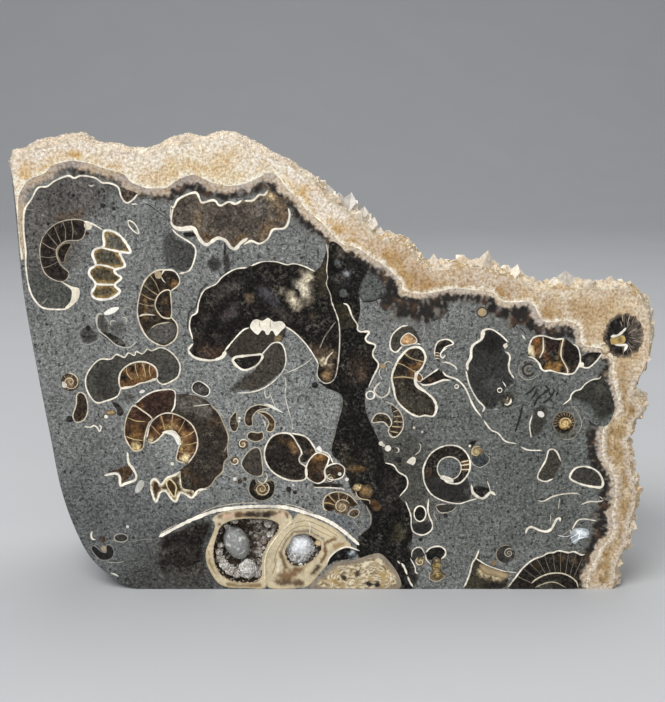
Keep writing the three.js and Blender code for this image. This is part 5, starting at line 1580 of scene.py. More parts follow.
# The right side, lower part: double coils, a horn, and a large ribbed section cut by the base.
def lower_right():
    shell([(62.3, 19), (62.6, 20.4), (63.8, 21.3), (67.2, 20), (69, 19.8, 0.8), (70.4, 20.6, 0.9),
        (72.2, 24, 1), (73, 24.2), (73.2, 23.2)], 0.7)
    pale([(77.2, 20.2), (81, 20.9), (82.4, 20.2), (82.6, 18.6), (79.6, 17), (78.4, 15.6), (77.2, 16.4)],
        "A9B0B4", spacing=0.35, patches=[([(79, 19.6), (81.4, 19)], 1.1, "E9EEF0"),
        ([(77.6, 18)], 0.9, "7A8286"), ([(80, 17.4)], 0.8, "DDE3E6")])
    shells([[(76.4, 17.4), (78.4, 18.6), (80.6, 20.8)], [(77.4, 16), (79.6, 17.4), (82.6, 18)],
        [(79, 16.8), (79.6, 18.6), (79.4, 20.4)], [(72.6, 18.6), (74.8, 18), (76.8, 18.4)]], 0.3, "EEF2F4",
        ragged=0.6)
    shell([(77.2, 20.6), (78.8, 23.4), (80.4, 24), (84.8, 23.4)], 0.5)
    shell([(72.2, 17.2), (74.6, 18.8), (76.6, 20.4)], 0.3, FAINT)

    shell([(21, 9.8), (21.5, 9.2), (22, 8.8)], 0.6)
    shell([(22.4, 9), (23.4, 7.2), (24.2, 5)], 0.8)
    shell([(24.4, 4.4), (25.2, 2.4), (26.2, 0.8)], 0.7)
    walled([(25.6, 11), (25.8, 13), (27, 14.2), (28.6, 14.2), (29.9, 12)], "3A3834", [(28.4, 11), (26.6, 10)],
           0.42, mud)
    shell([(25.2, 10.6), (26.8, 7.4), (27, 5.8), (27.8, 5.4)], 0.4)
    coil(28.4, 9.5, 1.6, 1.3, 120, 1, "7A6748", "AF9A70", 0, 0.3)
    walled([(30.2, 12.6), (31.4, 14), (33.4, 14.7), (35.2, 14.5), (36.5, 13.2), (36.4, 11.6), (35.2, 10.4)],
           "1C1A18", [(33.4, 11.2), (32, 10), (30.6, 10.6)], 0.55)
    walled([(32.4, 6.4), (31.5, 5), (31.6, 3.6), (33, 2.8), (34.8, 3), (37, 4.8)], "8A7858",
           [(35.6, 6), (35, 7.6), (35, 10.4), (33.4, 10.8), (32.2, 9.6), (32, 8)], 0.32, colour="BDB098",
           rim="3B342A", rim_width=0.8)
    shell([(30.2, 12), (30.3, 10.4), (31.8, 8.6)], 0.42)
    coil(33.8, 8.0, 1.4, 1.2, 30, 1, "8A7446", "C4AC74", 6, 0.3, colour="4A3E2A")
    coil(34.2, 4.6, 1.3, 1.0, 200, 1, "7A6640", "B49C68", 0, 0.3, colour="4A3E2A")
    horn = [(47.4, 13.6), (46.4, 10.8), (45.4, 9.2), (44.4, 5), (43, 1.2), (42.6, 0.6)]
    lip = [(57, 6, 0.3), (54.4, 6.6, 0.4), (49.8, 8.4), (46.4, 10.6)]
    mud(horn + [(56.4, 0.6), (57, 3)] + [p[:2] for p in lip[:3]] + [(48, 9.6)], "3F3A2E", rim="4B473C",
        patches=[([(50, 1), (55, 1)], 2.4, "262421"), ([(49, 6), (54, 4.4)], 2.4, "C4B18C"),
        ([(51, 3.2)], 1.3, "5A4E3C")])
    pale([(47.6, 8.6), (53, 6.8), (57.2, 5.2), (57, 4), (55, 3.6), (53, 4.6), (50, 5), (48, 6.6)], "B09B78",
         rim="7C6B50", rim_width=0.8)
    shell(horn, 0.6)
    shell([(59.6, 5.8, 0.25)] + lip, 0.55)
    mud(oval(56, 12, 3, 3), "3A3834", curved=False, rim="454340")
    coil(57, 12.4, 1.7, 1.8, 40, 1, "4A463E", "6E675A", 0, 0.28, colour="C6BDAA")
    shell(oval(56, 12, 3.1, start=60, sweep=210), 0.25, "A89C88")
    dot(52.2, 9, 0.9, "8E7A5A")
    walled([(57, 0.6), (59.4, 4), (61.8, 7.4), (65, 10.2), (68.2, 11.5), (69.6, 12.4), (71.4, 12.6),
        (73, 13.2), (76.4, 12.6), (78, 12.9), (80.6, 11.8), (81.6, 12)], "231F1B",
        [(80.2, 7), (80.2, 3), (79.9, 0.6)], 0.6, rim="2E2822", patches=[([(70, 1.4)], 3.2, "55524B"),
        ([(66, 8)], 1.6, "3C2E20"), ([(74, 10.6)], 1.6, "42321F"), ([(78.4, 10)], 1.4, "4E3D2A")])
    shell([(64.6, 2), (66.4, 3.6), (70.6, 5.4), (75.4, 5.2), (79.2, 2.6), (79.9, 0.6)], 0.5, "D9CDB4")
    shell([(66, 0.6), (68, 1.6), (70.4, 2.4), (72.6, 2.3), (75.8, 0.6)], 0.38, "B9AD95")
    septa([[(61.8, 7.2), (64.2, 5.2), (66.4, 3.7)], [(63.8, 8.9), (65.8, 7), (68, 4.7)],
        [(66, 10.6), (67.4, 8.4), (69.2, 5.1)], [(68.6, 11.6), (69.4, 9), (70.8, 5.5)],
        [(71.2, 12.4), (71.6, 9.6), (72.4, 5.6)], [(73.8, 12.9), (73.8, 10), (74, 5.5)],
        [(76.4, 12.4), (76, 9.6), (75.6, 5.1)], [(78.8, 12.2), (78, 9), (77, 4.6)],
        [(81, 11), (79.8, 8), (78.2, 3.8)], [(59.8, 4.6), (62, 3.4), (64.8, 2.2)]], 0.14, "8C8272",
        halo="2A2521")


for build in (top_left, crown_section, curled_whorl, left_column, chambered_whorl, toothed_edge, great_arch,
              small_coils, dark_seam, oval_chambers, lower_hollows, folded_lobe, upper_right, middle_right,
              lower_right):
    build()

# ---------------------------------------------------------------- the crust of crystals, where it is sawn

# The foot of the crust, from the left side over the top and down the right side. The third number is
# how deep the dark fibrous calcite is under it.
CRUST_FOOT = smooth([(-95.4, 108, 0.8), (-95.9, 113, 1.4), (-96.2, 119, 2), (-96, 125, 2.6),
    (-95, 129, 2.6), (-92.4, 132.4, 3), (-87.7, 134.4, 3), (-84.6, 136.9, 3.4), (-80.3, 138, 3.8),
    (-75.3, 137.8, 3.6), (-70.6, 136.3, 3.2), (-66.3, 135.1, 3), (-62.7, 133.6, 3.6), (-60.9, 131.5, 3.6),
    (-56.6, 130.1, 3.2), (-54, 129.8, 3.4), (-51, 130, 4), (-49, 131, 4.4), (-45, 133.4, 4.8),
    (-42.6, 133.9, 5), (-38.6, 132.6, 5.2), (-34.6, 131, 4.2), (-29.6, 130.8, 4), (-25.4, 131.8, 3.6),
    (-19, 134.6, 5), (-16.6, 133.6, 5), (-13.4, 129.4, 4), (-9.6, 126, 4.2), (-8, 123.4, 4.4), (-5, 121, 5),
    (-3, 119.4, 4.6), (-1.6, 117.6, 3), (0, 115.6, 2.6), (3.6, 112.6, 3), (8, 111.6, 4), (10.6, 109.6, 4.4),
    (14, 107.4, 4.4), (17.6, 105, 4.6), (20.4, 101.8, 6), (21.6, 100.4, 7), (22, 98.6, 8), (25, 97.6, 8.4),
    (30, 97.6, 8.6), (33, 98.2, 7), (36, 98.8, 4.4), (40, 99, 3.8), (47, 98.2, 4), (49.6, 97.8, 5),
    (52, 95.4, 5), (54, 94.8, 5.6), (57, 94.8, 9), (59.6, 95, 11), (61.4, 94.6, 10), (62.8, 93.4, 9),
    (64.6, 89.8, 5.4), (66, 88.6, 4.6), (70, 88.6, 5.4), (74, 88.6, 5.4), (76, 87.8, 5.6), (77.4, 84.4, 4),
    (77.6, 82.4, 2), (79, 80.8, 1.6), (84.4, 80, 2), (84.6, 78.6, 2), (87.2, 77, 2.4), (87.8, 74, 2.8),
    (87.6, 71, 3.6), (88.6, 68, 4.4), (90.2, 62, 4.8), (90.2, 60, 5), (87, 56.8, 5), (85.4, 52.4, 4.6),
    (85.5, 49, 4.6), (86, 45.2, 4.4), (88.2, 41.3, 4.6), (89.9, 38.1, 4.6), (90.5, 30.4, 5),
    (89.8, 25.6, 5.6), (90.3, 20.7, 6), (88.6, 16.4, 5.4), (86.4, 13.9, 4.4), (84.8, 10, 4),
    (83.1, 6.1, 3.6), (82.7, 3.7, 3.4), (82.6, 0, 3.4)], step=0.45)
# A line well below the fibrous calcite.
UNDER_FRINGE = [(78, 0), (78, 12), (82, 20), (82, 32), (79, 42), (79, 54), (83, 62), (82, 72), (70, 78),
    (56, 80), (53, 88), (36, 92), (32, 84), (17, 84), (11, 94), (2, 102), (-6, 108), (-12, 114), (-17, 124),
    (-24, 126), (-38, 125), (-44, 126), (-52, 122), (-63, 125), (-70, 129), (-80, 131), (-88, 128),
    (-91.6, 122), (-92.4, 108)]

crust_plates = Layer("crust_section", 0.004)


def growth(places):
    """Where each place is on the crust's foot: how far along, how far out from it, and the fringe's depth."""
    a, b = CRUST_FOOT[:-1, :2], CRUST_FOOT[1:, :2]
    along = b - a
    sizes = np.hypot(along[:, 0], along[:, 1])
    travel = np.concatenate([[0], np.cumsum(sizes)])
    found = np.zeros((len(places), 3))
    for i, place in enumerate(places):
        gap = place - a
        share = np.clip((gap * along).sum(1) / sizes ** 2, 0, 1)
        miss = gap - share[:, None] * along
        far = np.hypot(miss[:, 0], miss[:, 1])
        k = int(far.argmin())
        side = along[k, 0] * gap[k, 1] - along[k, 1] * gap[k, 0]
        depth = 1.12 * (CRUST_FOOT[k, 2] + (CRUST_FOOT[k + 1, 2] - CRUST_FOOT[k, 2]) * share[k])
        found[i] = (travel[k] + share[k] * sizes[k], math.copysign(far[k], side), depth)
    return found


def crust_tint(places, out, outline_gap):
    """Honey calcite with golden patches, cream at its foot, and whitish towards the crystal tips."""
    right = smoothstep(-6, 30, places[:, 0])
    honey = mix(mix("E6D0A6", "DFC394", clouds(places, 9, 33.0)), "CAAD80", right)
    golden = clouds(places, 8, 2.0) + 0.7 * (clouds(places, 2.6, 44.0) - 0.5)
    whiter = clouds(places, 7, 7.0) + 0.7 * (clouds(places, 2.2, 54.0) - 0.5)
    heart = smoothstep(0.6, 3, out) * smoothstep(0.5, 4.5, outline_gap)
    tint = mix(honey, mix("CFA560", "A9834E", right), smoothstep(0.26 - 0.16 * heart, 0.76, golden) * 0.8)
    tint = mix(tint, "F6EFE2", smoothstep(0.5, 0.8, whiter - 0.12 * heart) * (0.7 - 0.35 * right))
    tint = mix(tint, "D6C6B8", smoothstep(0.55, 0.85, clouds(places, 10, 11.0)) * 0.3)
    rim = smoothstep(6, 0.6, outline_gap + 5 * (clouds(places, 4, 5.0) - 0.5))
    tint = mix(tint, "F0E8DE", rim * (0.8 - 0.4 * right))
    across = places[:, 0]
    tint = mix(tint, "F6EEDA", 0.35 * smoothstep(-70, -50, across) * smoothstep(-8, -26, across))
    tint = mix(tint, "B48A50", 0.28 * smoothstep(-2, 10, across) * smoothstep(60, 26, across))
    tint = mix(tint, "EADAC0", 0.3 * smoothstep(60, 74, across))
    side = smoothstep(74, 66, places[:, 1]) * smoothstep(60, 70, places[:, 0])
    lumps = mix("B59A70", "D5C0A0", smoothstep(0.35, 0.65, clouds(places, 3.2, 8.0)))
    lumps = mix(lumps, "8A7048", smoothstep(0.58, 0.8, clouds(places, 1.8, 18.0)) * 0.8)
    lumps = mix(lumps, "DDD2C6", smoothstep(2.6, 0.6, outline_gap) * 0.7)
    lumps = mix("C3B2A0", lumps, smoothstep(0.8, 2.6, out + 1.6 * (clouds(places, 2.4, 28.0) - 0.5)))
    tint = mix(tint, lumps, side)
    return mix(tint, "F4EBD8", 1 - smoothstep(0.2, 1.5, out + 2.2 * (clouds(places, 1.3, 3.0) - 0.5)))


def fringe_tint(places, found):
    """Fibrous calcite under the crust: a lilac beige band at its foot, then dark brown to black grains."""
    below = -found[:, 1]
    share = below / found[:, 2]
    streak = np.array([noise.noise((along / 0.9, out / 4, 71.0)) for along, out in found[:, :2]])
    band = 1.25 + 1.6 * smoothstep(10, -30, places[:, 0]) * clouds(places, 14, 66.0)
    tone = mix("C2B09A", "A99F9A", smoothstep(0.35, 0.7, clouds(places, 10, 21.0)))
    tone = mix(tone, "E6D8C4", 0.4 * smoothstep(-50, -20, places[:, 0]))
    dark_tone = mix("2B2521", "161514", clouds(places, 4, 31.0))
    dark_tone = mix(dark_tone, "4A382A", smoothstep(0.55, 0.8, clouds(places, 3, 41.0)))
    grains = streak + 0.5 * (clouds(places, 1.2, 81.0) - 0.5)
    dark_tone = mix(dark_tone, "8A837C", smoothstep(0.15, 0.5, grains) * 0.75)
    dark_tone = mix(dark_tone, "908C86", smoothstep(-76, -88, places[:, 0]) * 0.7)
    ragged = 1.6 * (clouds(places, 1.3, 1.0) - 0.5) + 1.1 * (clouds(places, 3.4, 36.0) - 0.5) + 0.9 * streak
    tint = mix(tone, dark_tone, smoothstep(band, band + 0.7, below + ragged))
    fade = smoothstep(0.78, 1.08, share + 0.5 * (clouds(places, 2.2, 51.0) - 0.5) + 0.15 * streak)
    return tint + (stone_tone_and_shade(places) - tint) * (0.85 * fade)[:, None]


def lay_crust():
    """The crust's sawn face, from its foot out to the block's outline, and the dark fringe below it."""
    ends = [int(np.hypot(*(face_edge - spot).T).argmin()) for spot in (CRUST_FOOT[0, :2], CRUST_FOOT[-1, :2])]
    outer = face_edge[min(ends):max(ends) + 1][::-1]
    loop = np.concatenate([CRUST_FOOT[:, :2], outer])
    places, faces, _, _ = triangles([loop], 0.75)
    found = growth(places)
    tint = crust_tint(places, found[:, 1], away_from(face_edge, places))
    found[:, 2] = 0
    crust_plates.add(places, faces, tint, found)

    loop = np.concatenate([CRUST_FOOT[:, :2], np.array(UNDER_FRINGE, float)])
    places, faces, _, _ = triangles([loop], 0.6)
    found = growth(places)
    middles = found[faces].mean(1)
    ragged = 0.65 + 0.7 * clouds(places[faces].mean(1), 2.2, 61.0)
    faces = faces[-middles[:, 1] < middles[:, 2] * ragged + 0.3]
    used = np.unique(faces)
    renumber = np.full(len(places), -1)
    renumber[used] = np.arange(len(used))
    places, found, faces = places[used], found[used], renumber[faces]
    tint = fringe_tint(places, found)
    found[:, 2] = 0
    crust_plates.add(places, faces, tint, found)

    line = CRUST_FOOT[:, :2]
    start = 0
    while start < len(line) - 12:
        size = 10 + int(26 * noise.noise((start * 0.37, 5.0, 0.0)) ** 2 * 4)
        part = line[start:start + size]
        if part[0][0] > 80 and part[0][1] < 80:
            break
        strength = 0.5 + 0.5 * noise.noise((part[0][0] * 0.2, part[0][1] * 0.2, 9.0))
        points = [(p[0], p[1], 0.15 + 0.7 * strength * (0.6 + noise.noise((p[0], p[1], 4.0)))) for p in part]
        shell(points, 0.4, "F4EBD8", curved=False, ragged=0.5)
        start += size + 5


def right_disc():
    """At the upper right, a ball of dark calcite grown in rays, sawn through, with white and gold bands."""
    x, z = 90.7, 84
    across, up = 6.3, 7.1
    rim = []
    for k in range(90):
        reach = 1 + 0.1 * noise.noise((k * 0.9, 3.0, 0.0)) + 0.1 * noise.noise((k * 0.31, 7.0, 0.0))
        angle = math.radians(4 * k)
        rim.append((x + across * reach * math.cos(angle), z + up * reach * math.sin(angle)))
    dark(rim, "2E2825", curved=False, rim="7E6E5C", rim_width=1.2, spacing=0.45,
         patches=[([(87, 88.4), (86, 86)], 4.4, "151312"), ([(90, 79), (92, 80)], 2.4, "241E1B"),
                  ([(94, 87), (94.6, 83)], 2.4, "5E554E")])
    for k in range(26):
        angle = math.radians(-90 + 7.7 * k)
        first = 0.45 + 0.2 * math.sin(k * 2.4)
        last = 0.86 + 0.16 * math.sin(k * 3.7)
        shell([(x + first * across * math.cos(angle), z + first * up * math.sin(angle)),
               (x + last * across * math.cos(angle + 0.05), z + last * up * math.sin(angle + 0.05))],
              0.2 + 0.12 * math.sin(k * 5.1), "8A7E70" if k % 3 else "B5A58C", taper=0.3)
    pale([(86.8, 83.3), (88.6, 83.5), (90.6, 84.2), (91.4, 83), (91, 81.8), (89, 81.3), (87, 81.5)], "BEA064",
         spacing=0.4, patches=[([(89.6, 82.6)], 1, "8A6C3C")])
    shell([(86.7, 83.8), (88.9, 84.2), (90.4, 85.4), (91.4, 86.6)], 1.0, "F6EFE0", ragged=0.3)
    shell([(88.1, 81.2), (90.1, 81.1), (91.7, 81.0), (91.2, 79.1)], 0.9, "F6EFE0", ragged=0.3)
    pale([(83.8, 81), (84.2, 78.6), (85.6, 78), (86.6, 79.2), (86.2, 80.8), (85, 81.4)], "D8C6A4",
        spacing=0.4, rim="8A765A", rim_width=0.8)
    ring(oval(46.5, 91.5, 1.7, 1.5, step=0.4), 0.4, "3A3129", curved=False)
    dot(46.5, 91.5, 1.3, "B09A74")
    shell([(58.4, 86.6), (59.6, 85.4), (60.4, 84.4)], 0.4, "26211D")
    shell([(59, 84.4), (60.2, 82.8)], 0.6, "D9D3C6")


lay_crust()
right_disc()
crust_plates.mesh(SECTION, "calcite", "growth")


# ---------------------------------------------------------------- crystals

def three_corners(start, height):
    """Three corners one unit out from a crystal's axis, the first of them at an angle in degrees."""
    angles = [math.radians(120 * k + start) for k in range(3)]
    return [(math.cos(angle), math.sin(angle), height) for angle in angles]


# A calcite crystal one unit wide, the shape that the mineral cleaves to: six leaning faces that meet in a
# blunt tip, three corners lower round it and three lower still. The rest of it is sunk.
CRYSTAL_CORNERS = np.array([(0, 0, -1.0)] + three_corners(60, -0.25) + three_corners(0, 0.5)
    + [(0, 0, 0.95)])
CRYSTAL_FACES = []
for k in range(3):
    CRYSTAL_FACES.append((7, 4 + k, 1 + k, 4 + (k + 1) % 3))
    CRYSTAL_FACES.append((0, 1 + k, 4 + k, 1 + (k + 2) % 3))
# How far a crystal's corners stray, as a share of its radius.
UNEVEN = 0.14


def grow(name, seeds, material):
    """Many crystals as one mesh. A seed is a place, an axis, a radius, a height, a root and a tip colour."""
    corners = []
    faces = []
    tints = []
    draw = random.Random(len(seeds) * 7 + 3)
    for place, axis, radius, height, root, tip in seeds:
        axis = Vector(axis).normalized()
        side = axis.orthogonal().normalized()
        across = axis.cross(side)
        spin = draw.uniform(0, 2 * math.pi)
        u = side * math.cos(spin) + across * math.sin(spin)
        v = axis.cross(u)
        frame_rows = np.array([u * radius * draw.uniform(0.8, 1.2), v * radius * draw.uniform(0.8, 1.2),
                               axis * height])
        spots = CRYSTAL_CORNERS @ frame_rows + np.array(place)
        spots += radius * UNEVEN * np.array([[draw.uniform(-1, 1) for _ in range(3)] for _ in spots])
        spots[:, 1] = np.clip(spots[:, 1], FACE, FACE + DEPTH)
        spots[:, 2] = np.maximum(spots[:, 2], OFF_FLOOR)
        start = len(corners)
        corners += [tuple(p) for p in spots]
        faces += [tuple(start + i for i in face) for face in CRYSTAL_FACES]
        tints += [root] * 4 + [root + (tip - root) * 0.75] * 3 + [tip]
    piece = new_mesh(name, np.array(corners) * MM, faces, material)
    paint_mesh(piece, tints)
    return piece


def crust_faces(block):
    """The faces of the block's natural crust and their corners, from one end to the other, so that the
    crystals on them are the same ones each time that the script runs."""
    rows = []
    for face in block.data.polygons:
        if face.material_index == 1:
            corners = [np.array(block.data.vertices[i].co) / MM for i in face.vertices]
            first = min(range(len(corners)), key=lambda k: tuple(corners[k].round(3)))
            middle = np.array(face.center) / MM
            rows.append((tuple(middle.round(3)), middle, face, corners[first:] + corners[:first]))
    return sorted(rows, key=lambda row: row[0])


def crust_spots(block, spacing, wanted):
    """Places on the natural crust, about this far apart, with the direction that the surface faces, and the
    draws that go on from there."""
    draw = random.Random(int(spacing * 1000))
    found = []
    for _, middle, face, corners in crust_faces(block):
        amount = wanted(middle) * face.area / (spacing * MM) ** 2
        count = int(amount) + (draw.random() < amount % 1)
        for _ in range(count):
            a, b = sorted((draw.random(), draw.random()))
            whole = len(corners) == 3 or draw.random() < 0.5
            trio = corners[:3] if whole else (corners[0], corners[2], corners[3])
            place = trio[0] * a + trio[1] * (b - a) + trio[2] * (1 - b)
            found.append((place, face.normal.copy()))
    return found, draw


# The hollows end before this distance behind the face, and lie on either side of this line on it.
HOLLOW_REACH = 9
BETWEEN_HOLLOWS = -17


def in_hollow(place):
    """Whether a place is inside one of the open hollows rather than on the outside of the block."""
    spot = np.array([[place[0], place[2]]])
    return place[1] < FACE + HOLLOW_REACH and any(inside(outline, spot)[0] for outline, _ in POCKETS)


def outer_seeds(block, spacing, low, high, wanted, stretch):
    """Crystals on the outside of the crust, from low to high in radius, most of them small. The stretch is
    what their heights lie between, as a share of the radius."""
    seeds = []
    honey, pale_tone, white = pigment("B09068"), pigment("D2BC98"), pigment("EAE1D2")
    spots, draw = crust_spots(block, spacing, wanted)
    for place, normal in spots:
        if in_hollow(place):
            continue
        size = low + (high - low) * draw.random() ** 1.8
        place = place - np.array(normal) * 0.25 * size
        place[1] = min(place[1], FACE + DEPTH - 1.7 * size)
        axis = Vector(normal) + Vector([draw.uniform(-1, 1) for _ in range(3)]) * 0.35
        tone = 0.5 + 0.5 * noise.noise(Vector(place) / 7)
        root = honey + (pale_tone - honey) * min(max(tone + draw.uniform(-0.2, 0.2), 0), 1)
        tip = pale_tone + (white - pale_tone) * draw.uniform(0.3, 1)
        seeds.append((place, axis, size, size * draw.uniform(*stretch), root, tip))
    return seeds


def fine(place):
    """Small crystals cover the crust where it shows round the face, and thin out behind."""
    return 1.0 if place[1] < FACE + 16 else 0.55 if place[1] < FACE + 44 else 0.25


def coarse(place):
    """Larger crystals stand on the long slope and on the right side."""
    near = 1.0 if place[0] > -4 else 0.0 if place[1] < FACE + 12 else 0.2
    return near * (0.4 + 0.6 * (noise.noise(Vector(place) / 11) > -0.1))


grow("druse_fine", outer_seeds(block, 1.3, 0.4, 0.85, fine, (0.35, 0.8)), DRUSE)
grow("druse_coarse", outer_seeds(block, 3.4, 1.0, 2.3, coarse, (0.8, 1.5)), DRUSE)

# The large crystals on the crest: (across, up, behind the face, radius, height, lean, whiteness).
CREST_CRYSTALS = [
    (-1.2, 127.4, 3.0, 1.3, 2.4, -8, 0.9), (1.4, 125.4, 2.4, 1.7, 2.4, 12, 1.0),
    (4.9, 124.2, 2.6, 2.3, 3.2, 10, 1.0), (6.4, 122.4, 4.2, 1.9, 2.8, 25, 0.9),
    (8.9, 120.8, 2.6, 1.6, 2.8, 18, 0.8), (10.4, 119.2, 3.4, 1.3, 2.2, 30, 0.6),
    (11.8, 117.6, 2.2, 1.4, 2.6, 20, 0.7), (14.2, 115.2, 2.6, 1.2, 2.0, 15, 0.6),
    (3.2, 122.0, 1.4, 1.4, 2.2, 20, 1.0), (7.6, 119.4, 1.4, 1.5, 2.2, 28, 0.8),
    (19.2, 113.2, 2.6, 1.4, 1.9, 10, 0.5), (22.6, 111.6, 2.2, 1.4, 2.2, 20, 0.4),
    (30.8, 105.8, 2.6, 1.5, 2.8, 5, 0.5), (35.6, 105.2, 2.4, 1.4, 1.6, -5, 0.5),
    (40.4, 105.6, 2.6, 1.3, 1.6, 5, 0.4), (44.6, 105.4, 2.2, 1.8, 2.0, -10, 0.5),
    (47.4, 105.6, 2.6, 2.0, 3.8, 6, 0.6), (50.2, 104.0, 2.8, 1.3, 1.6, 15, 0.4),
    (54.6, 103.2, 2.6, 1.4, 2.2, -8, 0.5), (56.6, 102.4, 2.2, 1.4, 2.9, 8, 0.6),
    (59.8, 100.6, 2.6, 1.2, 1.8, 10, 0.4), (64.6, 98.8, 2.8, 1.2, 1.8, -8, 0.4),
    (68.8, 99.2, 2.6, 1.5, 1.8, -20, 0.7), (72.2, 99.8, 2.8, 2.4, 3.6, 0, 0.9),
    (76.4, 99.0, 2.6, 1.5, 1.8, 12, 0.6), (82.0, 99.4, 2.6, 1.3, 1.6, 4, 0.5),
    (87.6, 98.8, 2.6, 1.2, 1.6, 10, 0.5), (26.4, 108.0, 2.6, 1.3, 1.8, 25, 0.4),
    (16.6, 113.8, 3.4, 1.3, 1.8, -5, 0.5), (-5.0, 131.6, 3.0, 1.1, 1.5, 20, 0.5),
]
# The lumps on the right side, facing right.
SIDE_CRYSTALS = [
    (95.6, 62.6, 3.0, 2.2, 2.4, 80, 0.4), (96.8, 60.8, 4.0, 1.8, 2.0, 95, 0.3),
    (95.4, 65.4, 3.2, 1.5, 1.8, 70, 0.4), (97.4, 78.4, 3.0, 1.5, 1.8, 85, 0.4),
    (94.4, 45.6, 2.8, 1.5, 1.8, 88, 0.4), (95.6, 37.4, 3.0, 1.7, 1.8, 92, 0.3),
    (94.2, 30.4, 2.8, 1.4, 1.8, 95, 0.4), (93.2, 22.8, 3.0, 1.6, 1.8, 90, 0.4),
    (91.6, 14.6, 2.8, 1.6, 1.8, 95, 0.4), (90.0, 6.8, 3.0, 1.8, 2.2, 98, 0.4),
    (88.8, 2.6, 3.4, 1.8, 2.2, 92, 0.3), (93.4, 52.6, 2.6, 1.3, 1.6, 85, 0.4),
]


def standing_seeds(rows):
    """The large crystals, each on the block's outline at its own distance behind the face."""
    seeds = []
    honey, white = pigment("D6BE98"), pigment("F1ECE4")
    for x, z, behind, radius, height, lean, whiteness in rows:
        axis = (math.sin(math.radians(lean)), -0.12, math.cos(math.radians(lean)))
        root = honey + (white - honey) * whiteness * 0.7
        seeds.append((on_block(x, z, behind), axis, 1.2 * radius, 1.45 * height, root,
                      honey + (white - honey) * whiteness))
    return seeds


# The whitest of them are clear.
CLEAR_FROM = 0.75
clouded = [row for row in CREST_CRYSTALS if row[6] < CLEAR_FROM]
clear = [row for row in CREST_CRYSTALS if row[6] >= CLEAR_FROM]
grow("crest_crystals", standing_seeds(clouded + SIDE_CRYSTALS), DRUSE)
grow("clear_crest_crystals", standing_seeds(clear), CLEAR)


def hollow_seeds(block):
    """Crystals that line the open hollows: dark on the left and above, paler brown and pink on the right. The
    dark is painted shade, where the hollow lies in shadow.
    """
    seeds = []
    white, brown, tan = pigment("E6E0D6"), pigment("5C5046"), pigment("A89C8C")
    shade, pink = pigment("2A221C"), pigment("C8B8AC")
    spots, draw = crust_spots(block, 1.0, in_hollow)
    for place, normal in spots:
        if not in_hollow(place):
            continue
        first = place[0] < BETWEEN_HOLLOWS
        light = float(smoothstep(-29, -23, place[0]) if first else smoothstep(-8, -14, place[0]))
        light = min(max(light * 0.85 + draw.uniform(-0.3, 0.4), 0), 1)
        root = shade + (brown - shade) * light
        tip = brown + ((pink if draw.random() < 0.4 else tan) - brown) * light
        if draw.random() < 0.08 + 0.4 * light:
            tip = white
        size = draw.uniform(0.35, 0.75) + 0.25 * light
        lean = Vector((draw.uniform(-1, 1), draw.uniform(-0.6, 0.2), draw.uniform(-1, 1)))
        axis = Vector(normal) + lean * 0.7
        seeds.append((place, axis, size, size * draw.uniform(0.7, 1.5), root, tip))
    return seeds


GOLDEN_ANGLE = math.radians(137.508)


def cluster_seeds(place, sizes, turn, count, size, root, tip):
    """Small crystals set close together all over a squeezed ball, each pointing outwards."""
    draw = random.Random(int(abs(place[0]) * 100) + count)
    root, tip = pigment(root), pigment(tip)
    seeds = []
    for k in range(count):
        up = 1 - 2 * (k + 0.5) / count
        angle = k * GOLDEN_ANGLE
        level = math.sqrt(1 - up * up)
        ball = np.array((math.cos(angle) * level, -abs(up), math.sin(angle) * level))
        spot = ball * np.array(sizes)
        lean = math.radians(turn)
        spot = np.array((spot[0] * math.cos(lean) - spot[2] * math.sin(lean), spot[1],
                         spot[0] * math.sin(lean) + spot[2] * math.cos(lean)))
        axis = Vector(spot) + Vector([draw.uniform(-1, 1) for _ in range(3)]) * 0.8
        radius = size * draw.uniform(0.6, 1.3)
        shade = draw.uniform(0, 1)
        seeds.append((np.array(place) + spot * 0.92, axis, radius, radius * draw.uniform(0.6, 1.4),
                      root + (tip - root) * 0.4 * shade, root + (tip - root) * shade))
    return seeds


def rounded_crystal(name, place, sizes, turn, base, material, bumps=0.1, levels=3, flat=False):
    """One rounded or blocky crystal: a sphere squeezed to its three sizes and turned, with uneven faces."""
    bpy.ops.object.select_all(action="DESELECT")
    bpy.ops.mesh.primitive_ico_sphere_add(subdivisions=levels, radius=MM)
    piece = bpy.context.object
    piece.name = name
    bpy.ops.transform.resize(value=sizes)
    bpy.ops.transform.rotate(value=math.radians(turn), orient_axis="Y", center_override=(0, 0, 0))
    bpy.ops.transform.translate(value=[v * MM for v in place])
    bpy.ops.object.transform_apply(location=True, rotation=True, scale=True)
    for vertex in piece.data.vertices:
        spot = Vector(vertex.co) / MM
        out = (spot - Vector(place)).normalized()
        vertex.co = (spot + out * bumps * noise.noise(spot / 2.2) * 2) * MM
        vertex.co.y = max(vertex.co.y, (FACE - 0.05) * MM)
    if not flat:
        bpy.ops.object.shade_smooth()
    piece.data.materials.append(material)
    paint_mesh(piece, [pigment(base)] * len(piece.data.vertices))
    finish_piece(piece)
    return piece


grow("hollow_lining_crystals", hollow_seeds(block), DRUSE)
rounded_crystal("grey_egg_crystal", (-31.2, FACE + 3.8, 14.6), (4.0, 3.4, 5.8), 24, "8E8F8B", EGG, 0.14)
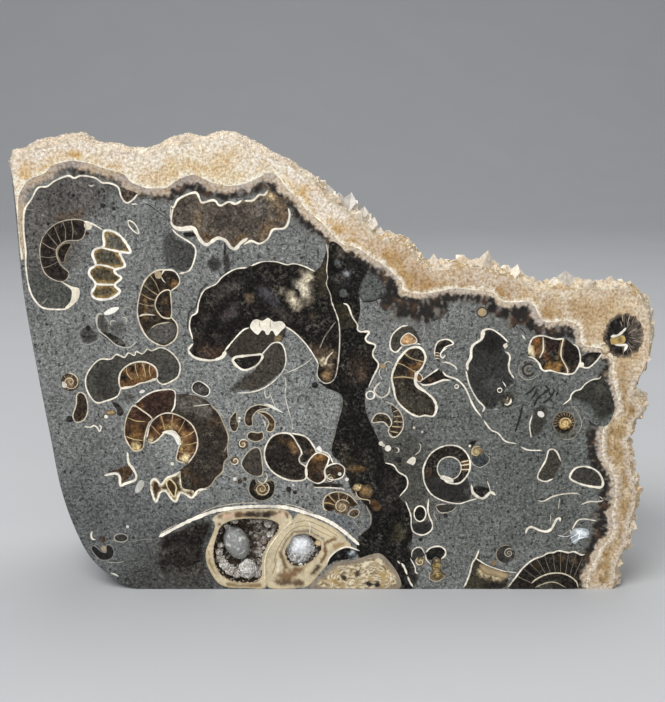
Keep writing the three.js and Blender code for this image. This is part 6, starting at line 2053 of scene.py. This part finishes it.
# White lumps in the first hollow: the large one, and the small ones at (across, up, width).
white_lumps = [((-27.6, 3.4, 5.8), (2.6, 2.8, 3.1), 0, 130, 0.62, "B4AEA4", "FAF8F4")]
for x, z, width in ((-31.6, 4.6, 1.7), (-33.4, 5.8, 2.0), (-35.2, 7.4, 1.8), (-36.6, 9.4, 1.3),
        (-36.8, 11.8, 1.0), (-36.4, 14, 0.8), (-31.8, 22.6, 1.1), (-34, 20.2, 0.9), (-24.4, 4, 1.2),
        (-21, 21.4, 1.1), (-20.2, 17.6, 0.9)):
    white_lumps.append(((x, 3.6 - width / 3, z), (width, width * 1.2, width * 0.8), -40, int(22 * width), 0.5,
                        "A89E90", "F4F0E8"))
white = []
for (x, behind, z), *rest in white_lumps:
    white += cluster_seeds((x, FACE + behind, z), *rest)
grow("white_crystals", white, DRUSE)
rounded_crystal("white_block_crystal", (-10.6, FACE + 2.9, 13.8), (4.7, 3.0, 4.5), -32, "F0F2F4", EGG,
    bumps=0.5, levels=1, flat=True)
bluish = cluster_seeds((-10.6, FACE + 3.0, 13.2), (4.7, 1.8, 5.1), -25, 160, 0.6, "B4B0AA", "FFFFFF")
grow("bluish_crystals", bluish, DRUSE)

mud_fills.mesh(STONE, "limestone")
dark_fills.mesh(CALCITE, "calcite")
pale_fills.mesh(SHELL, "calcite")
shell_walls.mesh(SHELL, "shell")


# ---------------------------------------------------------------- floor, light and camera

CAMERA_AWAY = 400
CAMERA_PITCH = 12
CAMERA_LENS = 65.64
AIM_HEIGHT = 79.2


def make_floor():
    """A board laid on a table and swept up behind it, so that no edge shows."""
    bend = [(1.0 + 0.9 * math.sin(math.radians(a)), 0.9 - 0.9 * math.cos(math.radians(a)))
        for a in range(0, 91, 5)]
    profile = [(-3.0, 0.0)] + bend + [(1.9, 3.2)]
    corners = [(x, y, z) for y, z in profile for x in (-4.0, 4.0)]
    faces = [(2 * i, 2 * i + 1, 2 * i + 3, 2 * i + 2) for i in range(len(profile) - 1)]
    mesh = bpy.data.meshes.new("floor")
    mesh.from_pydata(corners, [], faces)
    mesh.polygons.foreach_set("use_smooth", [True] * len(faces))
    floor = bpy.data.objects.new("floor", mesh)
    bpy.context.scene.collection.objects.link(floor)
    mesh.materials.append(painted_board())


def make_lamp(name, place, target, size, power):
    """A round soft lamp that faces its target."""
    data = bpy.data.lights.new(name, "AREA")
    data.shape = "DISK"
    data.size = size
    data.energy = power
    lamp = bpy.data.objects.new(name, data)
    lamp.location = place
    lamp.rotation_euler = (Vector(target) - Vector(place)).to_track_quat("-Z", "Y").to_euler()
    bpy.context.scene.collection.objects.link(lamp)


def make_camera():
    """The camera in front of the block, looking down at it a little."""
    data = bpy.data.cameras.new("camera")
    data.lens = CAMERA_LENS
    data.sensor_width = 36
    data.clip_start = 0.01
    camera = bpy.data.objects.new("camera", data)
    pitch = math.radians(CAMERA_PITCH)
    camera.location = (0, (FACE - CAMERA_AWAY * math.cos(pitch)) * MM,
                       (AIM_HEIGHT + CAMERA_AWAY * math.sin(pitch)) * MM)
    camera.rotation_euler = (math.pi / 2 - pitch, 0, 0)
    bpy.context.scene.collection.objects.link(camera)
    bpy.context.scene.camera = camera


make_floor()
make_lamp("key_lamp", (-0.45, -0.75, 1.15), (0, 0, 0.07), 0.9, 15)
make_lamp("front_lamp", (0.35, -1.6, 0.75), (0, 0, 0.07), 1.2, 7)
make_lamp("top_lamp", (0.1, 0.35, 1.1), (0, 0, 0.1), 0.8, 5)
world = bpy.data.worlds.new("studio")
world.use_nodes = True
world.node_tree.nodes["Background"].inputs["Color"].default_value = (0.75, 0.78, 0.82, 1)
world.node_tree.nodes["Background"].inputs["Strength"].default_value = 0.35
bpy.context.scene.world = world
bpy.context.scene.view_settings.view_transform = "Standard"
make_camera()
